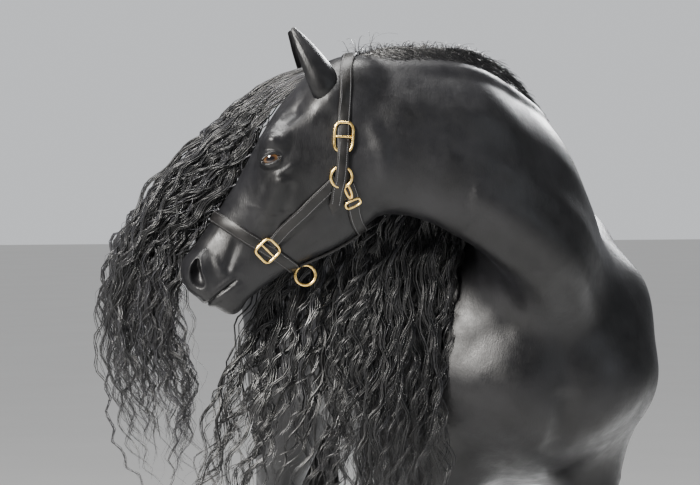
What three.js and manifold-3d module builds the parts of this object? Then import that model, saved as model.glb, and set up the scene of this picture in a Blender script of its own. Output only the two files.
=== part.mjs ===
// A Friesian stallion at life size, standing square with its neck arched and its head turned
// far round to its right. Millimetres, +Z up, the horse faces -Y and its left side is +X.
// Flesh is lofted through named sections, joined, and parted again by thin cuts.
import * as THREE from "three";
import { mergeVertices } from "three/addons/utils/BufferGeometryUtils.js";
import Module from "manifold-3d";

const wasm = await Module();
wasm.setup();

// Driving dimensions of the horse.
const WITHERS_HEIGHT = 1620;
const PARTING_GAP = 0.3; // width of the thin cuts that part the flesh
const FINENESS = { small: 0.25, flesh: 0.7, hair: 1.4 }; // steps finer than this are left out of a finished piece
const CLEARANCE = 0.5; // how far a worn or grown piece stays off the flesh
const LEG_SPREAD_FRONT = 182; // from the middle plane to a foreleg's centre
const LEG_SPREAD_HIND = 178;

// The neck runs forward from the withers and then round an arc to the horse's right.
const NECK_ARC_START_Y = -440;
const NECK_ARC_RADIUS = 430;
const NECK_TURN_DEG = 106;
const HEAD_LENGTH = 607;
const FACE_SLOPE_DEG = 32.3; // the face line, forward of straight down

// Segments round a section.
const TORSO_SEGMENTS = 24;
const NECK_SEGMENTS = 18;
const HEAD_SEGMENTS = 20;
const LEG_SEGMENTS = 10;
const HOOF_SEGMENTS = 14;

const vec = (x, y, z) => new THREE.Vector3(x, y, z);
const degrees = THREE.MathUtils.degToRad;
const clamp = THREE.MathUtils.clamp;
const lerp = THREE.MathUtils.lerp;

// A smooth value between stations, with no overshoot. Each station holds its place under key.
function between(stations, key, at, field) {
  const last = stations.length - 1;
  const x = (i) => stations[i][key];
  const rising = x(last) > x(0);
  let i = 0;
  while (i < last - 1 && (rising ? at > x(i + 1) : at < x(i + 1))) i++;
  const slope = (j) => (stations[j + 1][field] - stations[j][field]) / (x(j + 1) - x(j));
  const tangent = (j) => {
    if (j === 0) return slope(0);
    if (j === last) return slope(last - 1);
    const before = slope(j - 1);
    const after = slope(j);
    return before * after <= 0 ? 0 : (2 * before * after) / (before + after);
  };
  const width = x(i + 1) - x(i);
  const t = clamp((at - x(i)) / width, 0, 1);
  const a = stations[i][field];
  const b = stations[i + 1][field];
  const t2 = t * t;
  const t3 = t2 * t;
  return (
    (2 * t3 - 3 * t2 + 1) * a +
    (t3 - 2 * t2 + t) * width * tangent(i) +
    (3 * t2 - 2 * t3) * b +
    (t3 - t2) * width * tangent(i + 1)
  );
}

// A closed skin through rings of points, each ring closed by its neighbours and the ends by fans.
function loft(rings) {
  const count = rings[0].length;
  const points = rings.flat();
  const faces = [];
  for (let r = 0; r + 1 < rings.length; r++) {
    for (let k = 0; k < count; k++) {
      const a = r * count + k;
      const b = r * count + ((k + 1) % count);
      faces.push(a, b, b + count, a, b + count, a + count);
    }
  }
  const middle = (ring) => ring.reduce((sum, p) => sum.add(p), vec(0, 0, 0)).divideScalar(count);
  const first = points.push(middle(rings[0])) - 1;
  const lastMiddle = points.push(middle(rings[rings.length - 1])) - 1;
  const lastRing = (rings.length - 1) * count;
  for (let k = 0; k < count; k++) {
    const next = (k + 1) % count;
    faces.push(first, next, k);
    faces.push(lastMiddle, lastRing + k, lastRing + next);
  }
  const made = new THREE.BufferGeometry().setFromPoints(points);
  made.setIndex(faces);
  return facingOut(made);
}

// Turns a closed geometry's faces round if they point inwards.
function facingOut(geometry) {
  const p = geometry.attributes.position;
  const f = geometry.index.array;
  const corner = (i) => vec(p.getX(f[i]), p.getY(f[i]), p.getZ(f[i]));
  let volume = 0;
  for (let i = 0; i < f.length; i += 3) volume += corner(i).dot(corner(i + 1).cross(corner(i + 2)));
  if (volume < 0) {
    for (let i = 0; i < f.length; i += 3) [f[i + 1], f[i + 2]] = [f[i + 2], f[i + 1]];
  }
  return geometry;
}

// Raises or sinks soft forms on a geometry: each is a place, a reach and a height along the surface.
function swell(geometry, forms) {
  geometry.computeVertexNormals();
  const place = geometry.attributes.position;
  const normal = geometry.attributes.normal;
  for (let i = 0; i < place.count; i++) {
    const p = vec(place.getX(i), place.getY(i), place.getZ(i));
    const n = vec(normal.getX(i), normal.getY(i), normal.getZ(i));
    let rise = 0;
    for (const form of forms) {
      const d = p.distanceTo(form.at) / form.reach;
      if (d < 1) rise += form.by * (1 - d * d) ** 2;
    }
    p.addScaledVector(n, rise);
    place.setXYZ(i, p.x, p.y, p.z);
  }
  return geometry;
}

function solid(geometry) {
  const bare = geometry.clone();
  bare.deleteAttribute("normal");
  bare.deleteAttribute("uv");
  const merged = mergeVertices(bare, 1e-3);
  return new wasm.Manifold(
    new wasm.Mesh({
      numProp: 3,
      vertProperties: new Float32Array(merged.attributes.position.array),
      triVerts: new Uint32Array(merged.index.array),
    }),
  );
}

function geometryOf(made) {
  const mesh = made.getMesh();
  const places = new Float32Array(mesh.numVert * 3);
  for (let i = 0; i < mesh.numVert; i++) {
    places.set(mesh.vertProperties.subarray(i * mesh.numProp, i * mesh.numProp + 3), i * 3);
  }
  const geometry = new THREE.BufferGeometry();
  geometry.setAttribute("position", new THREE.BufferAttribute(places, 3));
  geometry.setIndex(new THREE.BufferAttribute(new Uint32Array(mesh.triVerts), 1));
  return geometry;
}

const join = (pieces) => pieces.reduce((whole, piece) => whole.add(piece));
const largest = (made) => made.decompose().reduce((a, b) => (b.volume() > a.volume() ? b : a));

// The same solid with its surface moved out a little, to cut neighbours clear of it.
function grown(made, by = CLEARANCE) {
  const geometry = mergeVertices(geometryOf(made), 1e-3);
  geometry.computeVertexNormals();
  const place = geometry.attributes.position;
  const normal = geometry.attributes.normal;
  for (let i = 0; i < place.count; i++) {
    place.setXYZ(
      i,
      place.getX(i) + normal.getX(i) * by,
      place.getY(i) + normal.getY(i) * by,
      place.getZ(i) + normal.getZ(i) * by,
    );
  }
  return solid(geometry);
}

// Torso: sections across the body from the breast to the buttocks.
const TORSO = [
  { y: -812, top: 1235, low: 1090, half: 70, wide: 1165, crown: 2.0 },
  { y: -795, top: 1310, low: 1035, half: 168, wide: 1165, crown: 2.1 },
  { y: -745, top: 1400, low: 975, half: 250, wide: 1170, crown: 2.3 },
  { y: -660, top: 1485, low: 920, half: 290, wide: 1195, crown: 2.4 },
  { y: -560, top: 1552, low: 882, half: 300, wide: 1215, crown: 2.3 },
  { y: -460, top: 1600, low: 858, half: 300, wide: 1205, crown: 2.0 },
  { y: -350, top: WITHERS_HEIGHT, low: 846, half: 298, wide: 1185, crown: 1.8 },
  { y: -220, top: 1592, low: 848, half: 306, wide: 1165, crown: 1.8 },
  { y: -60, top: 1556, low: 856, half: 317, wide: 1165, crown: 2.0 },
  { y: 100, top: 1545, low: 872, half: 322, wide: 1175, crown: 2.15 },
  { y: 260, top: 1562, low: 900, half: 312, wide: 1200, crown: 2.2 },
  { y: 400, top: 1592, low: 945, half: 296, wide: 1240, crown: 2.2 },
  { y: 520, top: 1598, low: 1000, half: 290, wide: 1270, crown: 2.25 },
  { y: 640, top: 1575, low: 1060, half: 280, wide: 1290, crown: 2.3 },
  { y: 740, top: 1530, low: 1110, half: 248, wide: 1310, crown: 2.2 },
  { y: 815, top: 1470, low: 1160, half: 185, wide: 1320, crown: 2.1 },
  { y: 855, top: 1410, low: 1220, half: 100, wide: 1320, crown: 2.0 },
];

// A point on a rounded section: fraction round it, and how square its upper and lower halves are.
function around(fraction, crown, sole = 2.1) {
  const angle = 2 * Math.PI * fraction;
  const c = Math.cos(angle);
  const s = Math.sin(angle);
  const power = s > 0 ? crown : sole;
  return { side: Math.sign(c) * Math.abs(c) ** (2 / power), rise: Math.sign(s) * Math.abs(s) ** (2 / power) };
}

function torsoRing(y) {
  const get = (field) => between(TORSO, "y", y, field);
  const wide = get("wide");
  return Array.from({ length: TORSO_SEGMENTS }, (_, k) => {
    const { side, rise } = around(k / TORSO_SEGMENTS, get("crown"));
    return vec(side * get("half"), y, wide + rise * (rise > 0 ? get("top") - wide : wide - get("low")));
  });
}

function bothSides(forms) {
  return forms.flatMap((f) => [f, { ...f, at: vec(-f.at.x, f.at.y, f.at.z) }]);
}

const TORSO_FORMS = bothSides([
  { at: vec(110, -800, 1130), reach: 150, by: 24 }, // breast muscles
  { at: vec(225, -690, 1120), reach: 130, by: 16 }, // point of the shoulder
  { at: vec(250, -430, 1110), reach: 200, by: 16 }, // back of the upper arm
  { at: vec(200, -420, 1440), reach: 220, by: 14 }, // shoulder blade
  { at: vec(210, 480, 1500), reach: 230, by: 16 }, // rump
  { at: vec(280, 240, 1010), reach: 170, by: -14 }, // flank
]);

function torsoSolid() {
  const rings = TORSO.flatMap((s, i) => {
    const after = TORSO[i + 1];
    const wideGap = after && after.y - s.y > 90;
    return wideGap ? [torsoRing(s.y), torsoRing((s.y + after.y) / 2)] : [torsoRing(s.y)];
  });
  return solid(swell(loft(rings), TORSO_FORMS));
}

// Neck: the crest above and the throat line below, both on the plan arc, and the half width.
// run is the distance along the plan line from the start of the arc; lean sets the throat to the left.
const NECK = [
  { t: -0.12, crestRun: -190, crest: 1500, throatRun: 190, throat: 1060, half: 165, lean: 20 },
  { t: 0, crestRun: -70, crest: 1612, throatRun: 300, throat: 1145, half: 196, lean: 55 },
  { t: 0.14, crestRun: 65, crest: 1690, throatRun: 360, throat: 1240, half: 174, lean: 95 },
  { t: 0.3, crestRun: 215, crest: 1782, throatRun: 430, throat: 1335, half: 144, lean: 118 },
  { t: 0.48, crestRun: 380, crest: 1856, throatRun: 510, throat: 1425, half: 118, lean: 95 },
  { t: 0.65, crestRun: 535, crest: 1890, throatRun: 585, throat: 1485, half: 108, lean: 45 },
  { t: 0.82, crestRun: 680, crest: 1890, throatRun: 660, throat: 1512, half: 99, lean: 10 },
  { t: 1, crestRun: 795, crest: 1864, throatRun: 745, throat: 1525, half: 88, lean: 0 },
  { t: 1.12, crestRun: 850, crest: 1825, throatRun: 800, throat: 1520, half: 70, lean: 0 },
];

// The plan line of the neck: straight ahead, then the arc to the right, then straight on.
function planPoint(run) {
  const turn = degrees(NECK_TURN_DEG);
  const angle = clamp(run / NECK_ARC_RADIUS, 0, turn);
  const past = Math.max(0, run - turn * NECK_ARC_RADIUS);
  const before = Math.min(0, run);
  const x = -NECK_ARC_RADIUS * (1 - Math.cos(angle)) - past * Math.sin(turn);
  const y = NECK_ARC_START_Y - before - NECK_ARC_RADIUS * Math.sin(angle) - past * Math.cos(turn);
  return { x, y, angle };
}

function neckFrame(t) {
  const get = (field) => between(NECK, "t", t, field);
  const above = planPoint(get("crestRun"));
  const below = planPoint(get("throatRun"));
  const crest = vec(above.x, above.y, get("crest"));
  const throat = vec(below.x, below.y, get("throat"));
  const angle = (above.angle + below.angle) / 2;
  const left = vec(Math.cos(angle), -Math.sin(angle), 0);
  throat.addScaledVector(left, get("lean"));
  return { crest, throat, left, half: get("half") };
}

const CREST_TAPER = 0.62; // how much narrower the neck is at the crest than at its widest

function neckRing(t) {
  const { crest, throat, left, half } = neckFrame(t);
  const middle = throat.clone().lerp(crest, 0.45);
  return Array.from({ length: NECK_SEGMENTS }, (_, k) => {
    const { side, rise } = around(k / NECK_SEGMENTS, 2.0, 2.0);
    const height = rise > 0 ? crest.clone().sub(middle) : middle.clone().sub(throat);
    const narrow = 1 - CREST_TAPER * Math.max(0, rise) ** 2.2;
    return middle.clone().addScaledVector(height, rise).addScaledVector(left, side * half * narrow);
  });
}

function neckSolid() {
  const steps = [-0.12, -0.05, 0.02, 0.1, 0.19, 0.28, 0.37, 0.46, 0.55, 0.64, 0.73, 0.82, 0.91, 1, 1.06, 1.12];
  return solid(loft(steps.map(neckRing)));
}

// Head: its own frame runs along the face, with rise towards the forehead and left to its left.
const POLL_RUN = 820;
const POLL = vec(planPoint(POLL_RUN).x, planPoint(POLL_RUN).y, 1868);
const HEADING = vec(-Math.sin(degrees(NECK_TURN_DEG)), -Math.cos(degrees(NECK_TURN_DEG)), 0);
const ALONG = HEADING.clone()
  .multiplyScalar(Math.sin(degrees(FACE_SLOPE_DEG)))
  .addScaledVector(vec(0, 0, -1), Math.cos(degrees(FACE_SLOPE_DEG)));
const BROW = HEADING.clone()
  .multiplyScalar(Math.cos(degrees(FACE_SLOPE_DEG)))
  .addScaledVector(vec(0, 0, 1), Math.sin(degrees(FACE_SLOPE_DEG)));
const HEAD_LEFT = vec(-HEADING.y, HEADING.x, 0);

const inHead = (along, rise, left) =>
  POLL.clone().addScaledVector(ALONG, along).addScaledVector(BROW, rise).addScaledVector(HEAD_LEFT, left);

const HEAD = [
  { p: -35, top: -45, low: -120, half: 42, wide: -80, jaw: 0.8 },
  { p: 0, top: -2, low: -165, half: 66, wide: -70, jaw: 0.85 },
  { p: 50, top: 26, low: -205, half: 82, wide: -60, jaw: 0.9 },
  { p: 110, top: 40, low: -240, half: 92, wide: -40, jaw: 0.9 },
  { p: 180, top: 46, low: -262, half: 101, wide: -10, jaw: 0.85 },
  { p: 240, top: 44, low: -265, half: 106, wide: 0, jaw: 0.78 },
  { p: 300, top: 39, low: -250, half: 94, wide: -30, jaw: 0.74 },
  { p: 355, top: 36, low: -224, half: 79, wide: -50, jaw: 0.7 },
  { p: 410, top: 36, low: -188, half: 65, wide: -60, jaw: 0.72 },
  { p: 460, top: 37, low: -160, half: 57, wide: -55, jaw: 0.76 },
  { p: 505, top: 40, low: -140, half: 55, wide: -40, jaw: 0.8 },
  { p: 545, top: 40, low: -126, half: 57, wide: -25, jaw: 0.82 },
  { p: 575, top: 26, low: -108, half: 53, wide: -35, jaw: 0.85 },
  { p: 596, top: 2, low: -84, half: 42, wide: -40, jaw: 0.85 },
  { p: HEAD_LENGTH, top: -18, low: -62, half: 24, wide: -40, jaw: 0.9 },
];

function headRing(p) {
  const get = (field) => between(HEAD, "p", p, field);
  const wide = get("wide");
  return Array.from({ length: HEAD_SEGMENTS }, (_, k) => {
    const { side, rise } = around(k / HEAD_SEGMENTS, 2.5, 2.5);
    const narrow = rise < 0 ? lerp(1, get("jaw"), rise * rise) : 1 - 0.18 * rise * rise;
    const height = rise > 0 ? get("top") - wide : wide - get("low");
    return inHead(p, wide + rise * height, side * get("half") * narrow);
  });
}

const EYE_PLACE = { along: 264, rise: -1, left: 91 };
const HEAD_FORMS = [-1, 1].flatMap((s) => [
  { at: inHead(234, 33, s * 95), reach: 60, by: 15 }, // rim over the eye
  { at: inHead(276, -36, s * 98), reach: 55, by: 6 },
  { at: inHead(140, 25, s * 80), reach: 60, by: -9 }, // hollow over the eye
  { at: inHead(330, -55, s * 84), reach: 70, by: 9 }, // facial crest
  { at: inHead(180, -180, s * 90), reach: 120, by: 12 }, // cheek
  { at: inHead(400, -100, s * 60), reach: 80, by: -9 }, // hollow behind the mouth
  { at: inHead(548, 20, s * 55), reach: 52, by: 12 }, // nostril flare
  { at: inHead(570, -100, s * 30), reach: 50, by: 7 }, // chin
]);

function headSolid() {
  const rings = HEAD.flatMap((s, i) => {
    const after = HEAD[i + 1];
    const split = after && after.p - s.p > 52;
    return split ? [headRing(s.p), headRing((s.p + after.p) / 2)] : [headRing(s.p)];
  });
  return solid(swell(loft(rings), HEAD_FORMS));
}

// Legs: level sections. x and y are the centre, side the half width, front and back the reach.
const FORELEG = [
  { z: 1290, x: 165, y: -560, side: 95, front: 120, back: 150 },
  { z: 1160, x: 185, y: -560, side: 106, front: 150, back: 165 },
  { z: 1050, x: 192, y: -545, side: 102, front: 135, back: 160 },
  { z: 960, x: 190, y: -525, side: 94, front: 108, back: 132 },
  { z: 880, x: 186, y: -518, side: 80, front: 88, back: 98 },
  { z: 780, x: LEG_SPREAD_FRONT, y: -518, side: 64, front: 70, back: 74 },
  { z: 680, x: LEG_SPREAD_FRONT, y: -520, side: 49, front: 55, back: 56 },
  { z: 590, x: LEG_SPREAD_FRONT, y: -521, side: 44, front: 46, back: 46 },
  { z: 520, x: LEG_SPREAD_FRONT, y: -520, side: 50, front: 49, back: 48 },
  { z: 475, x: LEG_SPREAD_FRONT, y: -518, side: 52, front: 50, back: 52 },
  { z: 425, x: LEG_SPREAD_FRONT, y: -513, side: 44, front: 42, back: 45 },
  { z: 370, x: LEG_SPREAD_FRONT, y: -508, side: 35, front: 36, back: 40 },
  { z: 290, x: LEG_SPREAD_FRONT, y: -506, side: 34, front: 36, back: 41 },
  { z: 235, x: LEG_SPREAD_FRONT, y: -508, side: 42, front: 44, back: 50 },
  { z: 190, x: LEG_SPREAD_FRONT, y: -528, side: 38, front: 38, back: 44 },
  { z: 140, x: LEG_SPREAD_FRONT, y: -560, side: 41, front: 42, back: 46 },
  { z: 96, x: LEG_SPREAD_FRONT, y: -584, side: 54, front: 54, back: 58 },
];
const HINDLEG = [
  { z: 1470, x: 120, y: 600, side: 90, front: 110, back: 130 },
  { z: 1400, x: 140, y: 595, side: 122, front: 175, back: 205 },
  { z: 1300, x: 158, y: 590, side: 132, front: 215, back: 252 },
  { z: 1170, x: 170, y: 580, side: 126, front: 228, back: 246 },
  { z: 1060, x: 178, y: 580, side: 116, front: 212, back: 208 },
  { z: 960, x: 180, y: 600, side: 100, front: 185, back: 160 },
  { z: 870, x: 180, y: 640, side: 82, front: 138, back: 122 },
  { z: 780, x: LEG_SPREAD_HIND, y: 695, side: 64, front: 92, back: 100 },
  { z: 700, x: LEG_SPREAD_HIND, y: 745, side: 51, front: 70, back: 84 },
  { z: 635, x: LEG_SPREAD_HIND, y: 785, side: 50, front: 62, back: 90 },
  { z: 575, x: LEG_SPREAD_HIND, y: 798, side: 55, front: 60, back: 66 },
  { z: 510, x: LEG_SPREAD_HIND, y: 797, side: 47, front: 48, back: 50 },
  { z: 430, x: LEG_SPREAD_HIND, y: 797, side: 37, front: 38, back: 44 },
  { z: 310, x: LEG_SPREAD_HIND, y: 795, side: 36, front: 38, back: 44 },
  { z: 245, x: LEG_SPREAD_HIND, y: 790, side: 44, front: 45, back: 52 },
  { z: 195, x: LEG_SPREAD_HIND, y: 768, side: 39, front: 39, back: 45 },
  { z: 145, x: LEG_SPREAD_HIND, y: 738, side: 42, front: 42, back: 46 },
  { z: 96, x: LEG_SPREAD_HIND, y: 712, side: 54, front: 54, back: 58 },
];

function legRing(stations, z, sideSign, segments = LEG_SEGMENTS) {
  const get = (field) => between(stations, "z", z, field);
  return Array.from({ length: segments }, (_, k) => {
    const { side, rise } = around(k / segments, 2.2, 2.2);
    const reach = rise > 0 ? get("back") : get("front");
    return vec(sideSign * (get("x") + side * get("side")), get("y") + rise * reach, z);
  });
}

function legSolid(stations, sideSign) {
  return solid(loft(stations.map((s) => legRing(stations, s.z, sideSign))));
}

// Hooves: from the coronet down to the sole, sloping forward.
const HOOF_TOP = 95;
const SOLE_GROWTH = { side: 15, front: 44, back: 6 };

function hoofSolid(stations, sideSign) {
  const rings = [HOOF_TOP, 60, 6, 0].map((z) => {
    const down = (HOOF_TOP - z) / HOOF_TOP;
    const rim = z === 0 ? 3 : 0;
    const foot = stations[stations.length - 1];
    return Array.from({ length: HOOF_SEGMENTS }, (_, k) => {
      const { side, rise } = around(k / HOOF_SEGMENTS, 2.3, 2.0);
      const reach = rise > 0 ? foot.back + SOLE_GROWTH.back * down - rim : foot.front + SOLE_GROWTH.front * down - rim;
      const half = foot.side + 2 + SOLE_GROWTH.side * down - rim;
      return vec(sideSign * (foot.x + side * half), foot.y + rise * reach - 2, z);
    });
  });
  return solid(loft(rings));
}

// Tools for fittings and cuts.
const placed = (geometry, matrix) => geometry.clone().applyMatrix4(matrix);

// A matrix that sets +Z of a piece along out, +X along side, at a place.
function facing(place, out, side) {
  const z = out.clone().normalize();
  const y = z.clone().cross(side).normalize();
  const x = y.clone().cross(z);
  return new THREE.Matrix4().makeBasis(x, y, z).setPosition(place);
}

// The part of a solid on the side of a plane that its normal points to, clear of it by half the gap.
function beyond(made, normal, place) {
  const n = normal.clone().normalize();
  return made.trimByPlane([n.x, n.y, n.z], n.dot(place) + PARTING_GAP / 2);
}

// Trunk: torso with the shoulders and thighs grown together.
const FORELEG_TOP = 985;
const HINDLEG_TOP = 1010;
const KNEE_CUT = 452;
const HOCK_CUT = 540;
const UP = vec(0, 0, 1);
const DOWN = vec(0, 0, -1);
const LEGS = [
  { name: "foreleg_left", stations: FORELEG, side: 1, top: FORELEG_TOP, cut: KNEE_CUT },
  { name: "foreleg_right", stations: FORELEG, side: -1, top: FORELEG_TOP, cut: KNEE_CUT },
  { name: "hindleg_left", stations: HINDLEG, side: 1, top: HINDLEG_TOP, cut: HOCK_CUT },
  { name: "hindleg_right", stations: HINDLEG, side: -1, top: HINDLEG_TOP, cut: HOCK_CUT },
];
const barrel = torsoSolid();
for (const leg of LEGS) leg.whole = legSolid(leg.stations, leg.side);
const headLoft = headSolid();
const neckLoft = neckSolid();
const headNeck = join([headLoft, neckLoft]).simplify(1.5);
const body = join([barrel, headNeck, ...LEGS.map((leg) => beyond(leg.whole, UP, vec(0, 0, leg.top)))]).simplify(2);
const bodyClear = grown(body);
for (const leg of LEGS) {
  const below = beyond(leg.whole, DOWN, vec(0, 0, leg.top));
  leg.upper = largest(beyond(below, UP, vec(0, 0, leg.cut)).subtract(bodyClear));
  leg.lower = beyond(leg.whole, DOWN, vec(0, 0, leg.cut));
  leg.hoof = hoofSolid(leg.stations, leg.side);
}

// The neck starts at a plane from the withers to the breast, the head behind the ears and jaw.
const NECK_PLANE = { place: vec(0, -330, 1625), normal: vec(0, -0.66, 0.75) };
const HEAD_PLANE = {
  place: inHead(20, 0, 0),
  normal: ALONG.clone().multiplyScalar(0.78).addScaledVector(BROW, 0.62),
};
const headSpace = beyond(
  solid(new THREE.BoxGeometry(1200, 1600, 1600).translate(-920, -700, 1700)),
  HEAD_PLANE.normal,
  HEAD_PLANE.place,
);
const behindHead = beyond(
  solid(new THREE.BoxGeometry(1200, 1600, 1600).translate(-920, -700, 1700)),
  HEAD_PLANE.normal,
  HEAD_PLANE.place.clone().addScaledVector(HEAD_PLANE.normal.clone().normalize(), -PARTING_GAP),
);
const headSide = largest(headNeck.intersect(headSpace));
const headless = largest(body.subtract(behindHead));
const neckSide = largest(beyond(headless, NECK_PLANE.normal, NECK_PLANE.place));
const trunk = largest(beyond(headless, NECK_PLANE.normal.clone().negate(), NECK_PLANE.place));

// Eyes, each a ball in its socket, with a lid above and below fused to the head.
const EYE_RADIUS = 22;
const SIDES = [
  { name: "left", sign: 1 },
  { name: "right", sign: -1 },
];
const eyeCentre = (sign) => inHead(EYE_PLACE.along, EYE_PLACE.rise, sign * EYE_PLACE.left);
const eyeBall = (sign, radius) =>
  solid(new THREE.SphereGeometry(radius, 12, 8).translate(...eyeCentre(sign).toArray()));
const EYE_TILT_DEG = 43; // the slit of the eye against the face line

function lidRing(sign) {
  const tilt = degrees(EYE_TILT_DEG);
  const slit = ALONG.clone().multiplyScalar(Math.cos(tilt)).addScaledVector(BROW, Math.sin(tilt));
  const out = HEAD_LEFT.clone().multiplyScalar(sign).addScaledVector(BROW, 0.18);
  const ring = new THREE.TorusGeometry(EYE_RADIUS - 2, 6, 5, 12).scale(1.12, 0.78, 1.1);
  const at = eyeCentre(sign).addScaledVector(HEAD_LEFT, sign * 11);
  return solid(placed(ring, facing(at, out, slit)));
}

// Nostrils: a raised rim round a slanting hollow.
const NOSTRIL = { along: 564, rise: 13, left: 48, wide: 15, tall: 30, deep: 30 };
function nostril(sign) {
  const at = inHead(NOSTRIL.along, NOSTRIL.rise, sign * NOSTRIL.left);
  const out = HEAD_LEFT.clone().multiplyScalar(sign).addScaledVector(ALONG, 0.55);
  const tilt = DOWN.clone().addScaledVector(HEADING, 0.1);
  const rim = new THREE.TorusGeometry(1, 0.32, 5, 12).scale(NOSTRIL.tall, NOSTRIL.wide, 18);
  const hollow = new THREE.SphereGeometry(1, 10, 6).scale(NOSTRIL.tall - 4, NOSTRIL.wide - 3, NOSTRIL.deep);
  return {
    rim: solid(placed(rim, facing(at, out, tilt))),
    hollow: solid(placed(hollow, facing(at.clone().addScaledVector(out, 4), out, tilt))),
  };
}

// The mouth: a narrow slit from the front of the lips back to the corner.
const MOUTH = { front: { along: 640, rise: -47 }, corner: { along: 527, rise: -77 }, gap: 2.6 };
function mouthSlit() {
  const front = inHead(MOUTH.front.along, MOUTH.front.rise, 0);
  const corner = inHead(MOUTH.corner.along, MOUTH.corner.rise, 0);
  const run = front.clone().sub(corner);
  const slit = new THREE.BoxGeometry(run.length(), MOUTH.gap, 160);
  return solid(placed(slit, facing(front.lerp(corner, 0.5), HEAD_LEFT, run)));
}

// Ears: a leaf-shaped shell, hollowed from the front and outside.
const EAR_LENGTH = 180;
const EAR = [
  { s: -0.1, half: 31, deep: 24 },
  { s: 0.06, half: 38, deep: 29 },
  { s: 0.25, half: 41, deep: 30 },
  { s: 0.5, half: 35, deep: 24 },
  { s: 0.75, half: 22, deep: 15 },
  { s: 0.92, half: 10, deep: 8 },
  { s: 1, half: 2.5, deep: 3 },
];
const EAR_WALL = 5;
function earLoft(sign, inset) {
  const root = inHead(76, -30, sign * 62);
  const rise = vec(0, 0, 0.86).addScaledVector(HEADING, 0.5).addScaledVector(HEAD_LEFT, sign * 0.14).normalize();
  const open = HEAD_LEFT.clone().multiplyScalar(sign * -0.5).addScaledVector(HEADING, 0.75);
  open.addScaledVector(rise, -open.dot(rise)).normalize();
  const across = rise.clone().cross(open);
  const rings = EAR.map(({ s, half, deep }) => {
    const inward = vec(0, 0, 0).addScaledVector(HEAD_LEFT, -sign * 16 * s * s);
    const centre = root.clone().addScaledVector(rise, s * EAR_LENGTH).add(inward);
    centre.addScaledVector(open, inset * 2.6);
    const wide = Math.max(1, half - inset);
    const thick = Math.max(1, deep - inset * 0.5);
    return Array.from({ length: 10 }, (_, k) => {
      const angle = (2 * Math.PI * k) / 10;
      return centre
        .clone()
        .addScaledVector(across, wide * Math.cos(angle))
        .addScaledVector(open, thick * Math.sin(angle));
    });
  });
  return { made: solid(loft(inset ? rings.slice(1) : rings)), root, rise };
}

const ears = SIDES.map(({ name, sign }) => {
  const outer = earLoft(sign, 0);
  const inner = earLoft(sign, EAR_WALL);
  return { name, shell: outer.made.subtract(inner.made), root: outer.root, rise: outer.rise };
});
const earBlock = join(SIDES.map(({ sign }) => grown(earLoft(sign, 0).made)));

let headWhole = join([headSide, ...SIDES.flatMap(({ sign }) => [lidRing(sign), nostril(sign).rim])]);
for (const { sign } of SIDES) {
  headWhole = headWhole.subtract(eyeBall(sign, EYE_RADIUS + CLEARANCE)).subtract(nostril(sign).hollow);
}
headWhole = headWhole.subtract(mouthSlit());

// The crest of the neck, three lengths of it, from which the mane grows.
const CREST = { half: 30, depth: 34, above: 30 };
const MANE_LENGTHS = [
  { name: "mane_withers", from: 0.07, to: 0.37 },
  { name: "mane_middle", from: 0.375, to: 0.68 },
  { name: "mane_poll", from: 0.685, to: 0.965 },
];
function crestBlock(from, to, extra = 0) {
  const steps = 4;
  const rings = Array.from({ length: steps + 1 }, (_, i) => {
    const { crest, throat, left } = neckFrame(lerp(from, to, i / steps));
    const up = crest.clone().sub(throat).normalize();
    const corner = (side, rise) => crest.clone().addScaledVector(left, side).addScaledVector(up, rise);
    const half = CREST.half + extra;
    const low = -CREST.depth - extra;
    return [corner(half, CREST.above), corner(half, low * 0.55), corner(half * 0.5, low), corner(-half * 0.5, low), corner(-half, low * 0.55), corner(-half, CREST.above)];
  });
  return solid(loft(rings));
}
const crestCut = join(MANE_LENGTHS.map(({ from, to }) => crestBlock(from - 0.001, to + 0.001, PARTING_GAP * 2)));
const neckWhole = largest(neckSide.subtract(crestCut));

// The poll cap, from which the forelock grows.
const capCentre = inHead(62, 30, 0);
const CAP = { along: 34, rise: 24, left: 30 };
const capBlock = (extra) =>
  solid(
    placed(
      new THREE.SphereGeometry(1, 10, 6).scale(CAP.along + extra, CAP.left + extra, CAP.rise + extra),
      facing(capCentre, BROW, ALONG),
    ),
  );
headWhole = largest(headWhole.subtract(earBlock).subtract(capBlock(PARTING_GAP)));
const capPiece = headSide.intersect(capBlock(0));

// The flesh as one surface, so that hair can be laid on it and kept off it.
const FLESH = new THREE.Mesh(
  geometryOf(join([body, ...LEGS.map((leg) => leg.upper)])),
  new THREE.MeshBasicMaterial({ side: THREE.FrontSide }),
);
const FEELER = 260;
const feeler = new THREE.Raycaster();

// Moves a point outwards until it stands off the flesh by a margin, seen from that side.
function standOff(point, out, margin) {
  const direction = out.clone().normalize();
  feeler.set(point.clone().addScaledVector(direction, FEELER), direction.clone().negate());
  feeler.far = FEELER + margin;
  const hit = feeler.intersectObject(FLESH)[0];
  return hit ? hit.point.addScaledVector(direction, margin) : point.clone();
}

// A flat, tapered lock of hair along a curve, ridged on the outside.
function lockSolid(points, width, { steps = 8, flatness = 0.3, across, taper = 0.75 } = {}) {
  const curve = new THREE.CatmullRomCurve3(points, false, "centripetal");
  const rings = Array.from({ length: steps + 1 }, (_, i) => {
    const t = i / steps;
    const at = curve.getPoint(t);
    const along = curve.getTangent(t);
    const side = across.clone().addScaledVector(along, -across.dot(along)).normalize();
    const out = along.clone().cross(side);
    const tip = Math.max(0.07, (1 - t ** 2.2) * (1 - taper * t * 0.35));
    const half = (width / 2) * tip * (i === 0 ? 0.7 : 1);
    return [
      at.clone().addScaledVector(side, half),
      at.clone().addScaledVector(out, half * flatness * 1.5),
      at.clone().addScaledVector(side, -half),
      at.clone().addScaledVector(out, -half * flatness * 0.6),
    ];
  });
  return solid(loft(rings));
}

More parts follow.
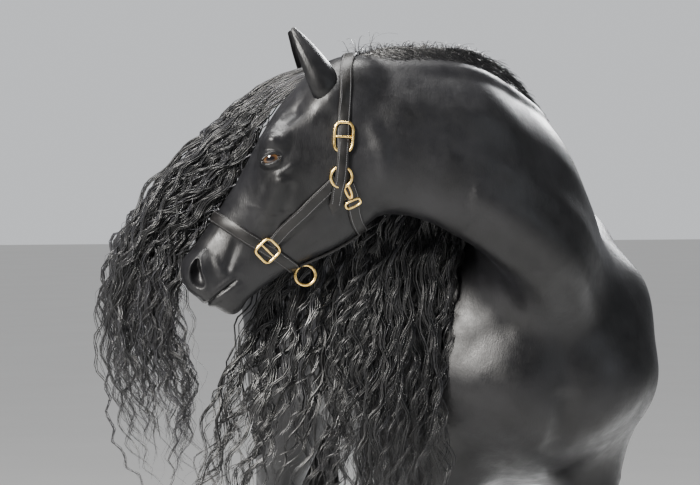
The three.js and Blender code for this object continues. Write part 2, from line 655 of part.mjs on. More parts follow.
// Mane: locks rise over the crest, lie on the right of the neck and hang free below it.
const seeded = (seed) => () => {
  seed = (seed * 1664525 + 1013904223) % 4294967296;
  return seed / 4294967296;
};
const MANE_LOCKS = 6; // in each length
const MANE_REACH = 1270; // a lock's length from crest to tip
const MANE_WIDTH = 62;
const MANE_FAN = 320; // how far the hair by the poll is carried forward
const MANE_BACK = 70; // how far the hair by the withers is carried back
const MANE_BODY = 14; // how far the laid hair stands off the neck

function neckSurface(t, turnDeg, off) {
  const { crest, throat, left, half } = neckFrame(t);
  const middle = throat.clone().lerp(crest, 0.45);
  const side = Math.cos(degrees(turnDeg));
  const rise = Math.sin(degrees(turnDeg));
  const height = rise > 0 ? crest.clone().sub(middle) : middle.clone().sub(throat);
  const narrow = 1 - CREST_TAPER * Math.max(0, rise) ** 2.2;
  const at = middle.clone().addScaledVector(height, rise).addScaledVector(left, side * half * narrow);
  const out = at.clone().sub(middle).normalize();
  return at.addScaledVector(out, off);
}

function maneLocks({ from, to }, seed) {
  const random = seeded(seed);
  const made = [];
  for (let i = 0; i < MANE_LOCKS; i++) {
    const t = lerp(from + 0.02, to - 0.015, (i + 0.5) / MANE_LOCKS);
    const { left } = neckFrame(t);
    const tangent = vec(left.y, -left.x, 0);
    const off = MANE_BODY + (i % 2) * 12;
    const points = [
      neckSurface(t, 102, -26),
      neckSurface(t, 114, off * 0.3),
      neckSurface(t, 138, off),
      neckSurface(t, 168, off),
    ];
    const out = left.clone().negate();
    const length = MANE_REACH * (0.86 + 0.2 * random());
    const phase = random() * 6.28;
    const swing = 10 + 8 * random();
    const back = MANE_BACK * Math.max(0, (0.3 - t) / 0.3);
    const fan = MANE_FAN * Math.max(0, (t - 0.5) / 0.5) ** 1.3 - back + 30 * (random() - 0.5);
    let at = points[3];
    for (let s = 1; s <= 6; s++) {
      const step = vec(0, 0, -(length - 330) / 6).addScaledVector(tangent, fan / 6);
      at = standOff(at.clone().add(step), out, off + 6);
      points.push(at.clone().addScaledVector(tangent, Math.sin(phase + s * 1.5) * swing));
    }
    made.push(lockSolid(points, MANE_WIDTH * (0.85 + 0.35 * random()), { steps: 8, flatness: 0.26, across: tangent }));
  }
  return made;
}

// Forelock: locks run from the poll cap over the forehead and swing down in front of the face.
const FORELOCK_LOCKS = 6;
const FORELOCK_WIDTH = 52;
const FORELOCK_NEAR = [
  [70, 22, -4], [140, 58, -16], [254, 64, -34], [383, 60, -60], [500, 66, -78],
  [610, 44, -90], [698, -50, -94], [792, -121, -98], [950, -190, -100],
];
const FORELOCK_FAR = [
  [66, 26, -12], [150, 86, -24], [300, 124, -44], [440, 150, -62], [560, 168, -76],
  [680, 152, -88], [800, 84, -98], [900, -20, -106], [1030, -130, -112],
];
function forelockLocks() {
  const random = seeded(77);
  return Array.from({ length: FORELOCK_LOCKS }, (_, i) => {
    const share = (i + 0.5) / FORELOCK_LOCKS;
    const sway = 8 * (random() - 0.5);
    const drop = 14 * (random() - 0.5);
    const phase = random() * 6.28;
    const points = FORELOCK_NEAR.map((near, k) => {
      const [p, q, l] = near.map((n, j) => lerp(n, FORELOCK_FAR[k][j], share));
      const loose = k > 1 ? 1 : 0;
      const curl = 9 * loose * Math.sin(phase + k * 1.9);
      const place = inHead(p + drop * k, q + curl, l + loose * (sway * k * 0.5 + (i % 2) * 16) + curl);
      return k === 0 ? place : standOff(place, BROW, 10);
    });
    return lockSolid(points, FORELOCK_WIDTH * (0.85 + 0.3 * random()), { steps: 8, flatness: 0.3, across: BROW });
  });
}

// Tail: a dock that arches from the croup and hangs, with long locks all round it.
const TAIL_LOCKS = 7;
const TAIL_WIDTH = 74;
const DOCK = [
  { y: 800, z: 1470, half: 40 },
  { y: 868, z: 1452, half: 42 },
  { y: 915, z: 1390, half: 38 },
  { y: 938, z: 1290, half: 33 },
  { y: 944, z: 1170, half: 27 },
  { y: 942, z: 1060, half: 18 },
];
function dockSolid() {
  const rings = DOCK.map(({ y, z, half }, i) => {
    const before = DOCK[Math.max(0, i - 1)];
    const after = DOCK[Math.min(DOCK.length - 1, i + 1)];
    const along = vec(0, after.y - before.y, after.z - before.z).normalize();
    const out = vec(0, -along.z, along.y);
    return Array.from({ length: 10 }, (_, k) => {
      const angle = (2 * Math.PI * k) / 10;
      return vec(half * Math.cos(angle), y, z).addScaledVector(out, half * 0.9 * Math.sin(angle));
    });
  });
  return solid(loft(rings));
}
function tailLocks() {
  const random = seeded(311);
  return Array.from({ length: TAIL_LOCKS }, (_, i) => {
    const share = (i + 0.5) / TAIL_LOCKS;
    const turn = degrees(lerp(-165, 165, share));
    const out = vec(Math.sin(turn), Math.cos(turn) * 0.75, 0);
    const high = 1330 - 150 * random();
    const dockY = between(DOCK, "z", high, "y");
    const points = [vec(0, dockY, high).addScaledVector(out, 8)];
    const end = 150 + 130 * random();
    const phase = random() * 6.28;
    for (let s = 1; s <= 6; s++) {
      const spread = 46 + 26 * Math.sin((Math.PI * Math.min(s, 5)) / 6) + 8 * Math.sin(phase + s * 1.6);
      const y = dockY + 8 * Math.sin(s * 0.9);
      points.push(vec(0, y, lerp(high, end, s / 6)).addScaledVector(out, spread));
    }
    const across = vec(Math.cos(turn), -Math.sin(turn), 0);
    return lockSolid(points, TAIL_WIDTH * (0.85 + 0.3 * random()), { steps: 8, flatness: 0.34, across });
  });
}

// Feathers: short locks on the back and sides of each lower leg that sweep down over the hoof.
const FEATHER_LOCKS = 7;
const FEATHER_WIDTH = 40;
const FEATHER_FLOOR = 14; // lowest tip
function featherLocks(stations, sideSign, seed) {
  const random = seeded(seed);
  const get = (z, field) => between(stations, "z", z, field);
  return Array.from({ length: FEATHER_LOCKS }, (_, i) => {
    const share = (i + 0.5) / FEATHER_LOCKS;
    const turn = degrees(lerp(-30, 210, share));
    const back = Math.max(0, Math.sin(turn));
    const high = 190 + 130 * back - 30 * random();
    const end = FEATHER_FLOOR + 50 * random();
    const spot = (z, off) => {
      const reach = Math.sin(turn) > 0 ? get(z, "back") : get(z, "front");
      const x = get(z, "x") + Math.cos(turn) * (get(z, "side") + off);
      return vec(sideSign * x, get(z, "y") + Math.sin(turn) * (reach + off), z);
    };
    const points = [
      spot(high, -14),
      spot(lerp(high, end, 0.25), 9),
      spot(Math.max(98, lerp(high, end, 0.55)), 24).setZ(lerp(high, end, 0.55)),
      spot(98, 34 + 14 * back).setZ(lerp(high, end, 0.8)),
      spot(98, 38 + 20 * back).setZ(end),
    ];
    const across = vec(-Math.sin(turn) * sideSign, Math.cos(turn), 0);
    return lockSolid(points, FEATHER_WIDTH * (0.85 + 0.3 * random()), { steps: 4, flatness: 0.34, across });
  });
}

// Halter: leather bands cut from a shell that fits the head, and brass fittings on them.
const STRAP = { width: 27, thick: 5 };
const BRASS = { thick: 5 };
const strapOuter = grown(headNeck, CLEARANCE + STRAP.thick);
const strapShell = strapOuter.subtract(grown(headNeck));
const SPOTS = {
  poll: [-44, 0],
  ring: [217, -146],
  square: [436, -98],
  throat: [310, -290],
};
function bandBlock(from, to, width, reach = [-200, 200]) {
  const a = inHead(from[0], from[1], (reach[0] + reach[1]) / 2);
  const b = inHead(to[0], to[1], (reach[0] + reach[1]) / 2);
  const run = b.clone().sub(a);
  const box = new THREE.BoxGeometry(run.length(), width, reach[1] - reach[0]);
  return solid(placed(box, facing(a.lerp(b, 0.5), HEAD_LEFT, run)));
}
const band = (from, to, reach) => strapShell.intersect(bandBlock(from, to, STRAP.width, reach)).simplify(0.4);
const noseband = band([436, 90], [436, -260]);
const crown = band(SPOTS.poll, SPOTS.ring);
const throatBand = band(SPOTS.ring, SPOTS.throat);
const cheekBlock = (sign) => (sign > 0 ? [4, 200] : [-200, -4]);
const cheekBand = (sign) => largest(band(SPOTS.ring, SPOTS.square, cheekBlock(sign)));
const jawBlock = solid(
  placed(new THREE.BoxGeometry(160, 170, STRAP.width), facing(inHead(358, -250, 0), HEAD_LEFT, ALONG)),
);
const jawBand = largest(strapShell.intersect(jawBlock));
const trimmed = (made, others) => largest(others.reduce((whole, other) => whole.subtract(grown(other)), made));

// A point on the outer face of the leather, left or right, at a place in the side view of the head.
const rayPick = new THREE.Raycaster();
const outerMesh = new THREE.Mesh(geometryOf(strapOuter), new THREE.MeshBasicMaterial({ side: THREE.DoubleSide }));
function onLeather([along, rise], sign) {
  rayPick.set(inHead(along, rise, sign * 400), HEAD_LEFT.clone().multiplyScalar(-sign));
  const hit = rayPick.intersectObject(outerMesh)[0];
  return { at: hit.point, out: hit.face.normal.clone() };
}
function frameOn(spot, sign, size, hole, alongStrap) {
  const { at, out } = onLeather(spot, sign);
  const centre = at.clone().addScaledVector(out, BRASS.thick / 2 + 0.8);
  const outer = new THREE.BoxGeometry(size[0], size[1], BRASS.thick);
  const inner = new THREE.BoxGeometry(hole[0], hole[1], BRASS.thick * 3);
  const matrix = facing(centre, out, alongStrap);
  return solid(placed(outer, matrix)).subtract(solid(placed(inner, matrix)));
}
const headRun = (from, to) =>
  inHead(to[0], to[1], 0).sub(inHead(from[0], from[1], 0)).normalize();
const crownRun = headRun(SPOTS.poll, SPOTS.ring);
const cheekRun = headRun(SPOTS.ring, SPOTS.square);
const ringOn = (spot, sign, radius) => {
  const { at, out } = onLeather(spot, sign);
  const ring = new THREE.TorusGeometry(radius, 3.4, 5, 14);
  return solid(placed(ring, facing(at.addScaledVector(out, 5), out, crownRun)));
};
const chinRing = solid(
  placed(new THREE.TorusGeometry(21, 3.4, 5, 14), facing(inHead(438, -201, 0), HEAD_LEFT, ALONG)),
);
const crownClear = trimmed(crown, [earBlock, capBlock(0)]);
const throatClear = trimmed(throatBand, [crownClear]);
const cheeks = SIDES.map(({ name, sign }) => ({
  name,
  made: trimmed(cheekBand(sign), [crownClear, throatClear, noseband]),
}));
const jawClear = trimmed(jawBand, [noseband, throatClear]);
const leather = [crownClear, throatClear, noseband, jawClear, ...cheeks.map((c) => c.made)];
const brass = (made) => trimmed(made, leather);
const fittings = [
  { name: "halter_buckle", made: brass(frameOn([142, -105], 1, [64, 42], [50, 29], crownRun)) },
  { name: "halter_square_left", made: brass(frameOn(SPOTS.square, 1, [46, 46], [33, 33], cheekRun)) },
  { name: "halter_square_right", made: brass(frameOn(SPOTS.square, -1, [46, 46], [33, 33], cheekRun)) },
  { name: "halter_ring_left", made: brass(ringOn(SPOTS.ring, 1, 22)) },
  { name: "halter_ring_right", made: brass(ringOn(SPOTS.ring, -1, 22)) },
  { name: "halter_chin_ring", made: brass(chinRing) },
];

// Every node, with the grown pieces cut clear of whatever they pass.
const LOOKS = {
  coat: new THREE.MeshStandardMaterial({ color: 0x0d0c0e, roughness: 0.5 }),
  hair: new THREE.MeshStandardMaterial({ color: 0x121114, roughness: 0.45 }),
  hoof: new THREE.MeshStandardMaterial({ color: 0x2a2826, roughness: 0.5 }),
  eye: new THREE.MeshStandardMaterial({ color: 0x2a1408, roughness: 0.1 }),
  leather: new THREE.MeshStandardMaterial({ color: 0x17120f, roughness: 0.6 }),
  brass: new THREE.MeshStandardMaterial({ color: 0xb89442, roughness: 0.3, metalness: 1 }),
};
const horse = new THREE.Group();
horse.name = "horse";
const settled = [];
function node(name, made, look, fineness = FINENESS.small) {
  let whole = largest(made.simplify(fineness));
  for (const other of settled) {
    if (whole.intersect(other).volume() > 1e-4) whole = largest(whole.subtract(other).subtract(grown(other, 0.1)));
  }
  settled.push(whole);
  const mesh = new THREE.Mesh(geometryOf(whole), look.clone());
  mesh.name = name;
  horse.add(mesh);
}

const crestPieces = MANE_LENGTHS.map((length) => neckSide.intersect(crestBlock(length.from, length.to)));
const dock = dockSolid();
const trunkWhole = largest(trunk.subtract(grown(dock)));
const fixed = [trunkWhole, neckWhole, headWhole, earBlock, ...leather, ...fittings.map((f) => f.made)].map((m) => grown(m));
const legBlocks = LEGS.flatMap((leg) => [grown(leg.upper), grown(leg.lower)]);
const clearOf = (made, blocks) => blocks.reduce((whole, block) => whole.subtract(block), made);

const forelock = largest(join([capPiece, ...forelockLocks()].map((m, i) => (i ? clearOf(m, fixed) : m))));
const manes = [];
let manesSoFar = grown(forelock);
for (const i of [2, 1, 0]) {
  const locks = maneLocks(MANE_LENGTHS[i], 41 + i).map((m) => clearOf(m, [...fixed, ...legBlocks]));
  const others = crestPieces.filter((_, k) => k !== i).map((m) => grown(m));
  const made = largest(clearOf(join([crestPieces[i], ...locks]), [manesSoFar, ...others]));
  manes.push({ name: MANE_LENGTHS[i].name, made });
  manesSoFar = manesSoFar.add(grown(made));
}
const tail = largest(join([dock, ...tailLocks().map((m) => clearOf(m, [grown(trunkWhole), ...legBlocks]))]));

node("torso", trunkWhole, LOOKS.coat, FINENESS.flesh);
node("neck", neckWhole, LOOKS.coat, FINENESS.flesh);
node("head", headWhole, LOOKS.coat, FINENESS.flesh);
for (const ear of ears) {
  const flush = ear.shell.trimByPlane([ear.rise.x, ear.rise.y, ear.rise.z], ear.rise.dot(ear.root));
  node("ear_" + ear.name, largest(flush), LOOKS.coat);
}
for (const { name, sign } of SIDES) node("eye_" + name, eyeBall(sign, EYE_RADIUS), LOOKS.eye);
for (const leg of LEGS) {
  const seed = 500 + leg.top + leg.side;
  const feathers = featherLocks(leg.stations, leg.side, seed);
  node(leg.name + "_upper", leg.upper, LOOKS.coat, FINENESS.flesh);
  node(leg.name + "_lower", largest(join([leg.lower, ...feathers.map((f) => f.subtract(grown(leg.hoof)))])), LOOKS.coat, FINENESS.flesh);
  node(leg.name + "_hoof", leg.hoof, LOOKS.hoof);
}
node("forelock", forelock, LOOKS.hair, FINENESS.hair);
for (const mane of manes) node(mane.name, mane.made, LOOKS.hair, FINENESS.hair);
node("tail", tail, LOOKS.hair, FINENESS.hair);
node("halter_crown", crownClear, LOOKS.leather);
node("halter_throat", throatClear, LOOKS.leather);
node("halter_noseband", noseband, LOOKS.leather);
node("halter_jaw_strap", jawClear, LOOKS.leather);
for (const cheek of cheeks) node("halter_cheek_" + cheek.name, cheek.made, LOOKS.leather);
for (const fitting of fittings) node(fitting.name, fitting.made, LOOKS.brass);

// The whole stands on the floor with its box centred on the origin.
const box = new THREE.Box3().setFromObject(horse);
const middle = box.getCenter(vec(0, 0, 0));
horse.position.set(-middle.x, -middle.y, -box.min.z);
horse.updateMatrixWorld(true);

export default horse;
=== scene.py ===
"""A Friesian stallion at life size, dressed over its solids: one skin, eyes, hooves,
mane, forelock, tail, leg feathers and a leather halter with brass fittings."""

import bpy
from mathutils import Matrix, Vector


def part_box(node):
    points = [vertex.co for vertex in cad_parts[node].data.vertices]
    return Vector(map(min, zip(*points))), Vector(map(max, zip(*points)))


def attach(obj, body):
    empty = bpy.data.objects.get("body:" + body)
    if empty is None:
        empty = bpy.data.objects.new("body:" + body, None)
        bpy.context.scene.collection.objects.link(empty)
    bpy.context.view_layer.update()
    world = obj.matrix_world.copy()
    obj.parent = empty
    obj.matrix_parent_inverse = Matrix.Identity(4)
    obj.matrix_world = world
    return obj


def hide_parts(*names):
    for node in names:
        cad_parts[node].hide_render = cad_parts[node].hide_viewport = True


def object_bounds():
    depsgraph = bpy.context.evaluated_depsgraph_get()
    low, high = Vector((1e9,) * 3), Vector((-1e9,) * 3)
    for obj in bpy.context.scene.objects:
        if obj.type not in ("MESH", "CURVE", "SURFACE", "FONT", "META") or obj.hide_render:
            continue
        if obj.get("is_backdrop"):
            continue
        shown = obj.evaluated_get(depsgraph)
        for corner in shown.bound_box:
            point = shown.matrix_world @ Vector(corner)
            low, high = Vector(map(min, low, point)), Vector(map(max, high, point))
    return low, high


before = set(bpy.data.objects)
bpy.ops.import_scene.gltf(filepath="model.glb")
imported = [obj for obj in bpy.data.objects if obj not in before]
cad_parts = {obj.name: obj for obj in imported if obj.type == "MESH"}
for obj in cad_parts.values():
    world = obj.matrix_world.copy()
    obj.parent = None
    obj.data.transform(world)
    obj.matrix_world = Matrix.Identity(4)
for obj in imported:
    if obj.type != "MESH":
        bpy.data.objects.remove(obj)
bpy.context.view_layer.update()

import math

import bpy
import numpy as np
from mathutils import Vector
from mathutils.bvhtree import BVHTree

bl_info = {
    "name": "Friesian stallion",
    "version": (1, 0, 0),
    "blender": (4, 5, 0),
    "location": "3D View > Sidebar > Horse",
    "description": "Dresses the solids of a standing stallion with skin, hair and halter",
    "category": "Object",
}

# Sizes of the animal, in millimetres, in a frame whose origin is on the floor under the trunk.
# The first column of each table is the place along the body that the other columns belong to.
TORSO = (
    "y top low half wide crown",
    [
        (-812, 1235, 1090, 70, 1165, 2.0),
        (-795, 1310, 1035, 168, 1165, 2.1),
        (-745, 1400, 975, 250, 1170, 2.3),
        (-660, 1485, 920, 290, 1195, 2.4),
        (-560, 1552, 882, 300, 1215, 2.3),
        (-460, 1600, 858, 300, 1205, 2.0),
        (-350, 1620, 846, 298, 1185, 1.8),
        (-220, 1592, 848, 306, 1165, 1.8),
        (-60, 1556, 856, 317, 1165, 2.0),
        (100, 1545, 872, 322, 1175, 2.15),
        (260, 1562, 900, 312, 1200, 2.2),
        (400, 1592, 945, 296, 1240, 2.2),
        (520, 1598, 1000, 290, 1270, 2.25),
        (640, 1575, 1060, 280, 1290, 2.3),
        (740, 1530, 1110, 248, 1310, 2.2),
        (815, 1470, 1160, 185, 1320, 2.1),
        (855, 1410, 1220, 100, 1320, 2.0),
    ],
)
NECK = (
    "t crest_run crest throat_run throat half lean",
    [
        (-0.12, -190, 1500, 190, 1060, 165, 20),
        (0, -70, 1612, 300, 1145, 196, 55),
        (0.14, 65, 1690, 360, 1240, 174, 95),
        (0.3, 215, 1782, 430, 1335, 144, 118),
        (0.48, 380, 1856, 510, 1425, 118, 95),
        (0.65, 535, 1890, 585, 1485, 108, 45),
        (0.82, 680, 1890, 660, 1512, 99, 10),
        (1, 795, 1864, 745, 1525, 88, 0),
        (1.12, 850, 1825, 800, 1520, 70, 0),
    ],
)
HEAD = (
    "p top low half wide jaw",
    [
        (-35, -45, -120, 42, -80, 0.8),
        (0, -2, -165, 66, -70, 0.85),
        (50, 26, -205, 82, -60, 0.9),
        (110, 40, -240, 92, -40, 0.9),
        (180, 46, -262, 101, -10, 0.85),
        (240, 44, -265, 106, 0, 0.78),
        (300, 39, -250, 94, -30, 0.74),
        (355, 36, -224, 79, -50, 0.7),
        (410, 36, -188, 65, -60, 0.72),
        (460, 37, -160, 57, -55, 0.76),
        (505, 40, -140, 55, -40, 0.8),
        (545, 40, -126, 57, -25, 0.82),
        (575, 26, -108, 53, -35, 0.85),
        (596, 2, -84, 42, -40, 0.85),
        (607, -18, -62, 24, -40, 0.9),
    ],
)
FORELEG = (
    "z x y side front back",
    [
        (1290, 165, -560, 95, 120, 150),
        (1160, 185, -560, 106, 150, 165),
        (1050, 192, -545, 102, 135, 160),
        (960, 190, -525, 94, 108, 132),
        (880, 186, -518, 80, 88, 98),
        (780, 182, -518, 64, 70, 74),
        (680, 182, -520, 49, 55, 56),
        (590, 182, -521, 44, 46, 46),
        (520, 182, -520, 50, 49, 48),
        (475, 182, -518, 52, 50, 52),
        (425, 182, -513, 44, 42, 45),
        (370, 182, -508, 35, 36, 40),
        (290, 182, -506, 34, 36, 41),
        (235, 182, -508, 42, 44, 50),
        (190, 182, -528, 38, 38, 44),
        (140, 182, -560, 41, 42, 46),
        (92, 182, -584, 54, 54, 58),
    ],
)
HINDLEG = (
    "z x y side front back",
    [
        (1470, 120, 600, 90, 110, 130),
        (1400, 140, 595, 122, 175, 205),
        (1300, 158, 590, 132, 215, 252),
        (1170, 170, 580, 126, 228, 246),
        (1060, 178, 580, 116, 212, 208),
        (960, 180, 600, 100, 185, 160),
        (870, 180, 640, 82, 138, 122),
        (780, 178, 695, 64, 92, 100),
        (700, 178, 745, 51, 70, 84),
        (635, 178, 785, 50, 62, 90),
        (575, 178, 798, 55, 60, 66),
        (510, 178, 797, 47, 48, 50),
        (430, 178, 797, 37, 38, 44),
        (310, 178, 795, 36, 38, 44),
        (245, 178, 790, 44, 45, 52),
        (195, 178, 768, 39, 39, 45),
        (145, 178, 738, 42, 42, 46),
        (92, 178, 712, 54, 54, 58),
    ],
)
DOCK = (
    "z y half",
    [
        (1470, 800, 40),
        (1452, 868, 42),
        (1390, 915, 38),
        (1290, 938, 33),
        (1170, 944, 27),
        (1060, 942, 18),
    ],
)
ARC_START_Y = -440.0
ARC_RADIUS = 430.0
ARC_TURN = math.radians(106)
FACE_SLOPE = math.radians(32.3)
POLL_RUN = 820.0
POLL_HEIGHT = 1868.0
CREST_TAPER = 0.62
EYE_PLACE = (264.0, -1.0, 87.5)
EYE_RADIUS = 25.5
EYE_TILT = math.radians(43)  # the slit against the face line
SIDES = (("left", 1), ("right", -1))
LEGS = (
    ("foreleg_left", FORELEG, 1),
    ("foreleg_right", FORELEG, -1),
    ("hindleg_left", HINDLEG, 1),
    ("hindleg_right", HINDLEG, -1),
)


# Where the animal stands in the row's frame: read from the hind hooves, which stay put.
def standing_shift():
    left = [np.array(c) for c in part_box("hindleg_left_hoof")]
    right = [np.array(c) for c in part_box("hindleg_right_hoof")]
    centre = (left[0] + left[1] + right[0] + right[1]) / 4
    return np.array([centre[0], centre[1] - 0.6947, 0.0]) * 1000


SHIFT = standing_shift()


def metres(points):
    """Points of the animal's frame, in millimetres, as points of the row's frame, in metres."""
    return (np.asarray(points, float) + SHIFT) / 1000


def unit(v):
    v = np.asarray(v, float)
    return v / np.maximum(np.linalg.norm(v, axis=-1, keepdims=True), 1e-12)


def between(table, at, field):
    """A smooth value between a table's rows, with no overshoot."""
    names, rows = table
    data = np.array(rows, float)
    x, y = data[:, 0], data[:, names.split().index(field)]
    if x[0] > x[-1]:
        x, y = x[::-1], y[::-1]
    step = np.diff(x)
    slope = np.diff(y) / step
    tangent = np.empty_like(y)
    tangent[0], tangent[-1] = slope[0], slope[-1]
    a, b = slope[:-1], slope[1:]
    tangent[1:-1] = np.where(a * b <= 0, 0, 2 * a * b / np.where(a + b == 0, 1, a + b))
    at = np.clip(np.asarray(at, float), x[0], x[-1])
    i = np.clip(np.searchsorted(x, at, side="right") - 1, 0, len(step) - 1)
    w = step[i]
    t = (at - x[i]) / w
    return (
        (2 * t**3 - 3 * t**2 + 1) * y[i]
        + (t**3 - 2 * t**2 + t) * w * tangent[i]
        + (3 * t**2 - 2 * t**3) * y[i + 1]
        + (t**3 - t**2) * w * tangent[i + 1]
    )


def around(count, crown, sole=2.1):
    """Side and rise of count points round a rounded section."""
    angle = 2 * np.pi * np.arange(count) / count
    c, s = np.cos(angle), np.sin(angle)
    power = np.where(s > 0, crown, sole)
    return np.sign(c) * np.abs(c) ** (2 / power), np.sign(s) * np.abs(s) ** (2 / power)


def torso_ring(y, count=72):
    top, low, half, wide, crown = (between(TORSO, y, f) for f in ("top", "low", "half", "wide", "crown"))
    side, rise = around(count, crown)
    z = wide + rise * np.where(rise > 0, top - wide, wide - low)
    return np.stack([side * half, np.full(count, float(y)), z], -1)


def plan_point(run):
    """The neck's plan line: straight ahead, an arc to the right, then straight on."""
    angle = float(np.clip(run / ARC_RADIUS, 0, ARC_TURN))
    past = max(0.0, run - ARC_TURN * ARC_RADIUS)
    before = min(0.0, run)
    x = -ARC_RADIUS * (1 - math.cos(angle)) - past * math.sin(ARC_TURN)
    y = ARC_START_Y - before - ARC_RADIUS * math.sin(angle) - past * math.cos(ARC_TURN)
    return x, y, angle


def neck_frame(t):
    above = plan_point(float(between(NECK, t, "crest_run")))
    below = plan_point(float(between(NECK, t, "throat_run")))
    angle = (above[2] + below[2]) / 2
    left = np.array([math.cos(angle), -math.sin(angle), 0])
    crest = np.array([above[0], above[1], float(between(NECK, t, "crest"))])
    throat = np.array([below[0], below[1], float(between(NECK, t, "throat"))])
    throat = throat + left * float(between(NECK, t, "lean"))
    return crest, throat, left, float(between(NECK, t, "half"))


def neck_surface(t, turn_deg, off=0.0):
    """A point of the neck's surface at t along it: 90 is the crest, 180 the right side, -90 the throat."""
    crest, throat, left, half = neck_frame(t)
    middle = throat + (crest - throat) * 0.45
    side, rise = math.cos(math.radians(turn_deg)), math.sin(math.radians(turn_deg))
    height = crest - middle if rise > 0 else middle - throat
    narrow = 1 - CREST_TAPER * max(0.0, rise) ** 2.2
    at = middle + height * rise + left * side * half * narrow
    return at + unit(at - middle) * off


def neck_ring(t, count=64):
    return np.array([neck_surface(t, 360 * k / count) for k in range(count)])


HEADING = np.array([-math.sin(ARC_TURN), -math.cos(ARC_TURN), 0])
ALONG = HEADING * math.sin(FACE_SLOPE) + np.array([0, 0, -1]) * math.cos(FACE_SLOPE)
BROW = HEADING * math.cos(FACE_SLOPE) + np.array([0, 0, 1]) * math.sin(FACE_SLOPE)
HEAD_LEFT = np.array([-HEADING[1], HEADING[0], 0])
POLL = np.array([plan_point(POLL_RUN)[0], plan_point(POLL_RUN)[1], POLL_HEIGHT])


def in_head(along, rise, left):
    """A point of the head's own frame: along the face from the poll, out of the brow, to its left."""
    along, rise, left = (np.asarray(v, float)[..., None] for v in (along, rise, left))
    return POLL + ALONG * along + BROW * rise + HEAD_LEFT * left


def head_ring(p, count=64):
    top, low, half, wide, jaw = (float(between(HEAD, p, f)) for f in ("top", "low", "half", "wide", "jaw"))
    side, rise = around(count, 2.5, 2.5)
    narrow = np.where(rise < 0, 1 + (jaw - 1) * rise**2, 1 - 0.18 * rise**2)
    height = np.where(rise > 0, top - wide, wide - low)
    return in_head(np.full(count, p), wide + rise * height, side * half * narrow)


def leg_ring(table, z, sign, count=40):
    x, y, half, front, back = (float(between(table, z, f)) for f in ("x", "y", "side", "front", "back"))
    side, rise = around(count, 2.2, 2.2)
    reach = np.where(rise > 0, back, front)
    return np.stack([sign * (x + side * half), y + rise * reach, np.full(count, float(z))], -1)


# Small tools for making and shaping objects.
def deselect():
    bpy.ops.object.select_all(action="DESELECT")


def only(*objects):
    deselect()
    for o in objects:
        o.select_set(True)
    bpy.context.view_layer.objects.active = objects[0]


def places(obj):
    co = np.empty(len(obj.data.vertices) * 3)
    obj.data.vertices.foreach_get("co", co)
    return co.reshape(-1, 3)


def outward(obj):
    """The vertex normals of an object's mesh."""
    n = np.empty(len(obj.data.vertices) * 3)
    obj.data.vertex_normals.foreach_get("vector", n)
    return n.reshape(-1, 3)


def place(obj, co):
    obj.data.vertices.foreach_set("co", np.asarray(co, np.float32).ravel())
    obj.data.update()


def recalculate(obj):
    only(obj)
    bpy.ops.object.mode_set(mode="EDIT")
    bpy.ops.mesh.select_all(action="SELECT")
    bpy.ops.mesh.normals_make_consistent(inside=False)
    bpy.ops.object.mode_set(mode="OBJECT")


def lofted(name, rings):
    """A ball shaped onto rings of points, in millimetres, with its poles closing the ends."""
    rings = np.asarray(rings)
    count, segments = rings.shape[:2]
    deselect()
    bpy.ops.mesh.primitive_uv_sphere_add(segments=segments, ring_count=count + 1, radius=1)
    obj = bpy.context.object
    obj.name = name
    co = places(obj)
    ring = np.rint(np.arccos(np.clip(co[:, 2], -1, 1)) / np.pi * (count + 1)).astype(int)
    segment = np.rint(np.arctan2(co[:, 1], co[:, 0]) / (2 * np.pi) * segments).astype(int) % segments
    new = rings[np.clip(ring - 1, 0, count - 1), segment]
    new[ring == 0] = rings[0].mean(0)
    new[ring == count + 1] = rings[-1].mean(0)
    place(obj, metres(new))
    recalculate(obj)
    return obj


def ball(name, centre, radii):
    """A ball stretched to its radii, in millimetres."""
    deselect()
    bpy.ops.mesh.primitive_uv_sphere_add(segments=48, ring_count=32, radius=1)
    obj = bpy.context.object
    obj.name = name
    place(obj, metres(places(obj) * np.array(radii) + np.array(centre)))
    return obj


def modified(obj, kind, **settings):
    only(obj)
    modifier = obj.modifiers.new(kind.lower(), kind)
    for key, value in settings.items():
        setattr(modifier, key, value)
    bpy.ops.object.modifier_apply(modifier=modifier.name)
    return obj


def joined(name, objects):
    only(*objects)
    if len(objects) > 1:
        bpy.ops.object.join()
    obj = bpy.context.object
    obj.name = name
    obj.data.name = name
    return obj


def smooth_shaded(obj, angle=None):
    only(obj)
    if angle is None:
        bpy.ops.object.shade_smooth()
    else:
        bpy.ops.object.shade_smooth_by_angle(angle=math.radians(angle))
    return obj


def finished(obj, slot, material, *nodes):
    """Gives a finished piece its material and the body it rides on, and hides the nodes it stands for; the slot is not
    used.
    """
    obj.data.materials.clear()
    obj.data.materials.append(material)
    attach(obj, "root")
    if nodes:
        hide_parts(*nodes)
    return obj


def tree_of(obj):
    mesh = obj.data
    return BVHTree.FromPolygons([v.co for v in mesh.vertices], [tuple(p.vertices) for p in mesh.polygons])


def hit(tree, origin, direction, reach=2.0):
    """Where a ray from a point, in millimetres, meets a surface, with the normal there."""
    found = tree.ray_cast(Vector(metres(origin)), Vector(unit(direction)), reach)
    if found[0] is None:
        return None, None
    return np.array(found[0]) * 1000 - SHIFT, np.array(found[1])


def spline(points, count):
    """count points along a smooth curve through the points given."""
    p = np.asarray(points, float)
    padded = np.vstack([2 * p[0] - p[1], p, 2 * p[-1] - p[-2]])
    t = np.linspace(0, len(p) - 1, count)
    i = np.clip(t.astype(int), 0, len(p) - 2)
    f = (t - i)[:, None]
    a, b, c, d = padded[i], padded[i + 1], padded[i + 2], padded[i + 3]
    return 0.5 * (2 * b + (c - a) * f + (2 * a - 5 * b + 4 * c - d) * f**2 + (3 * b - a - 3 * c + d) * f**3)


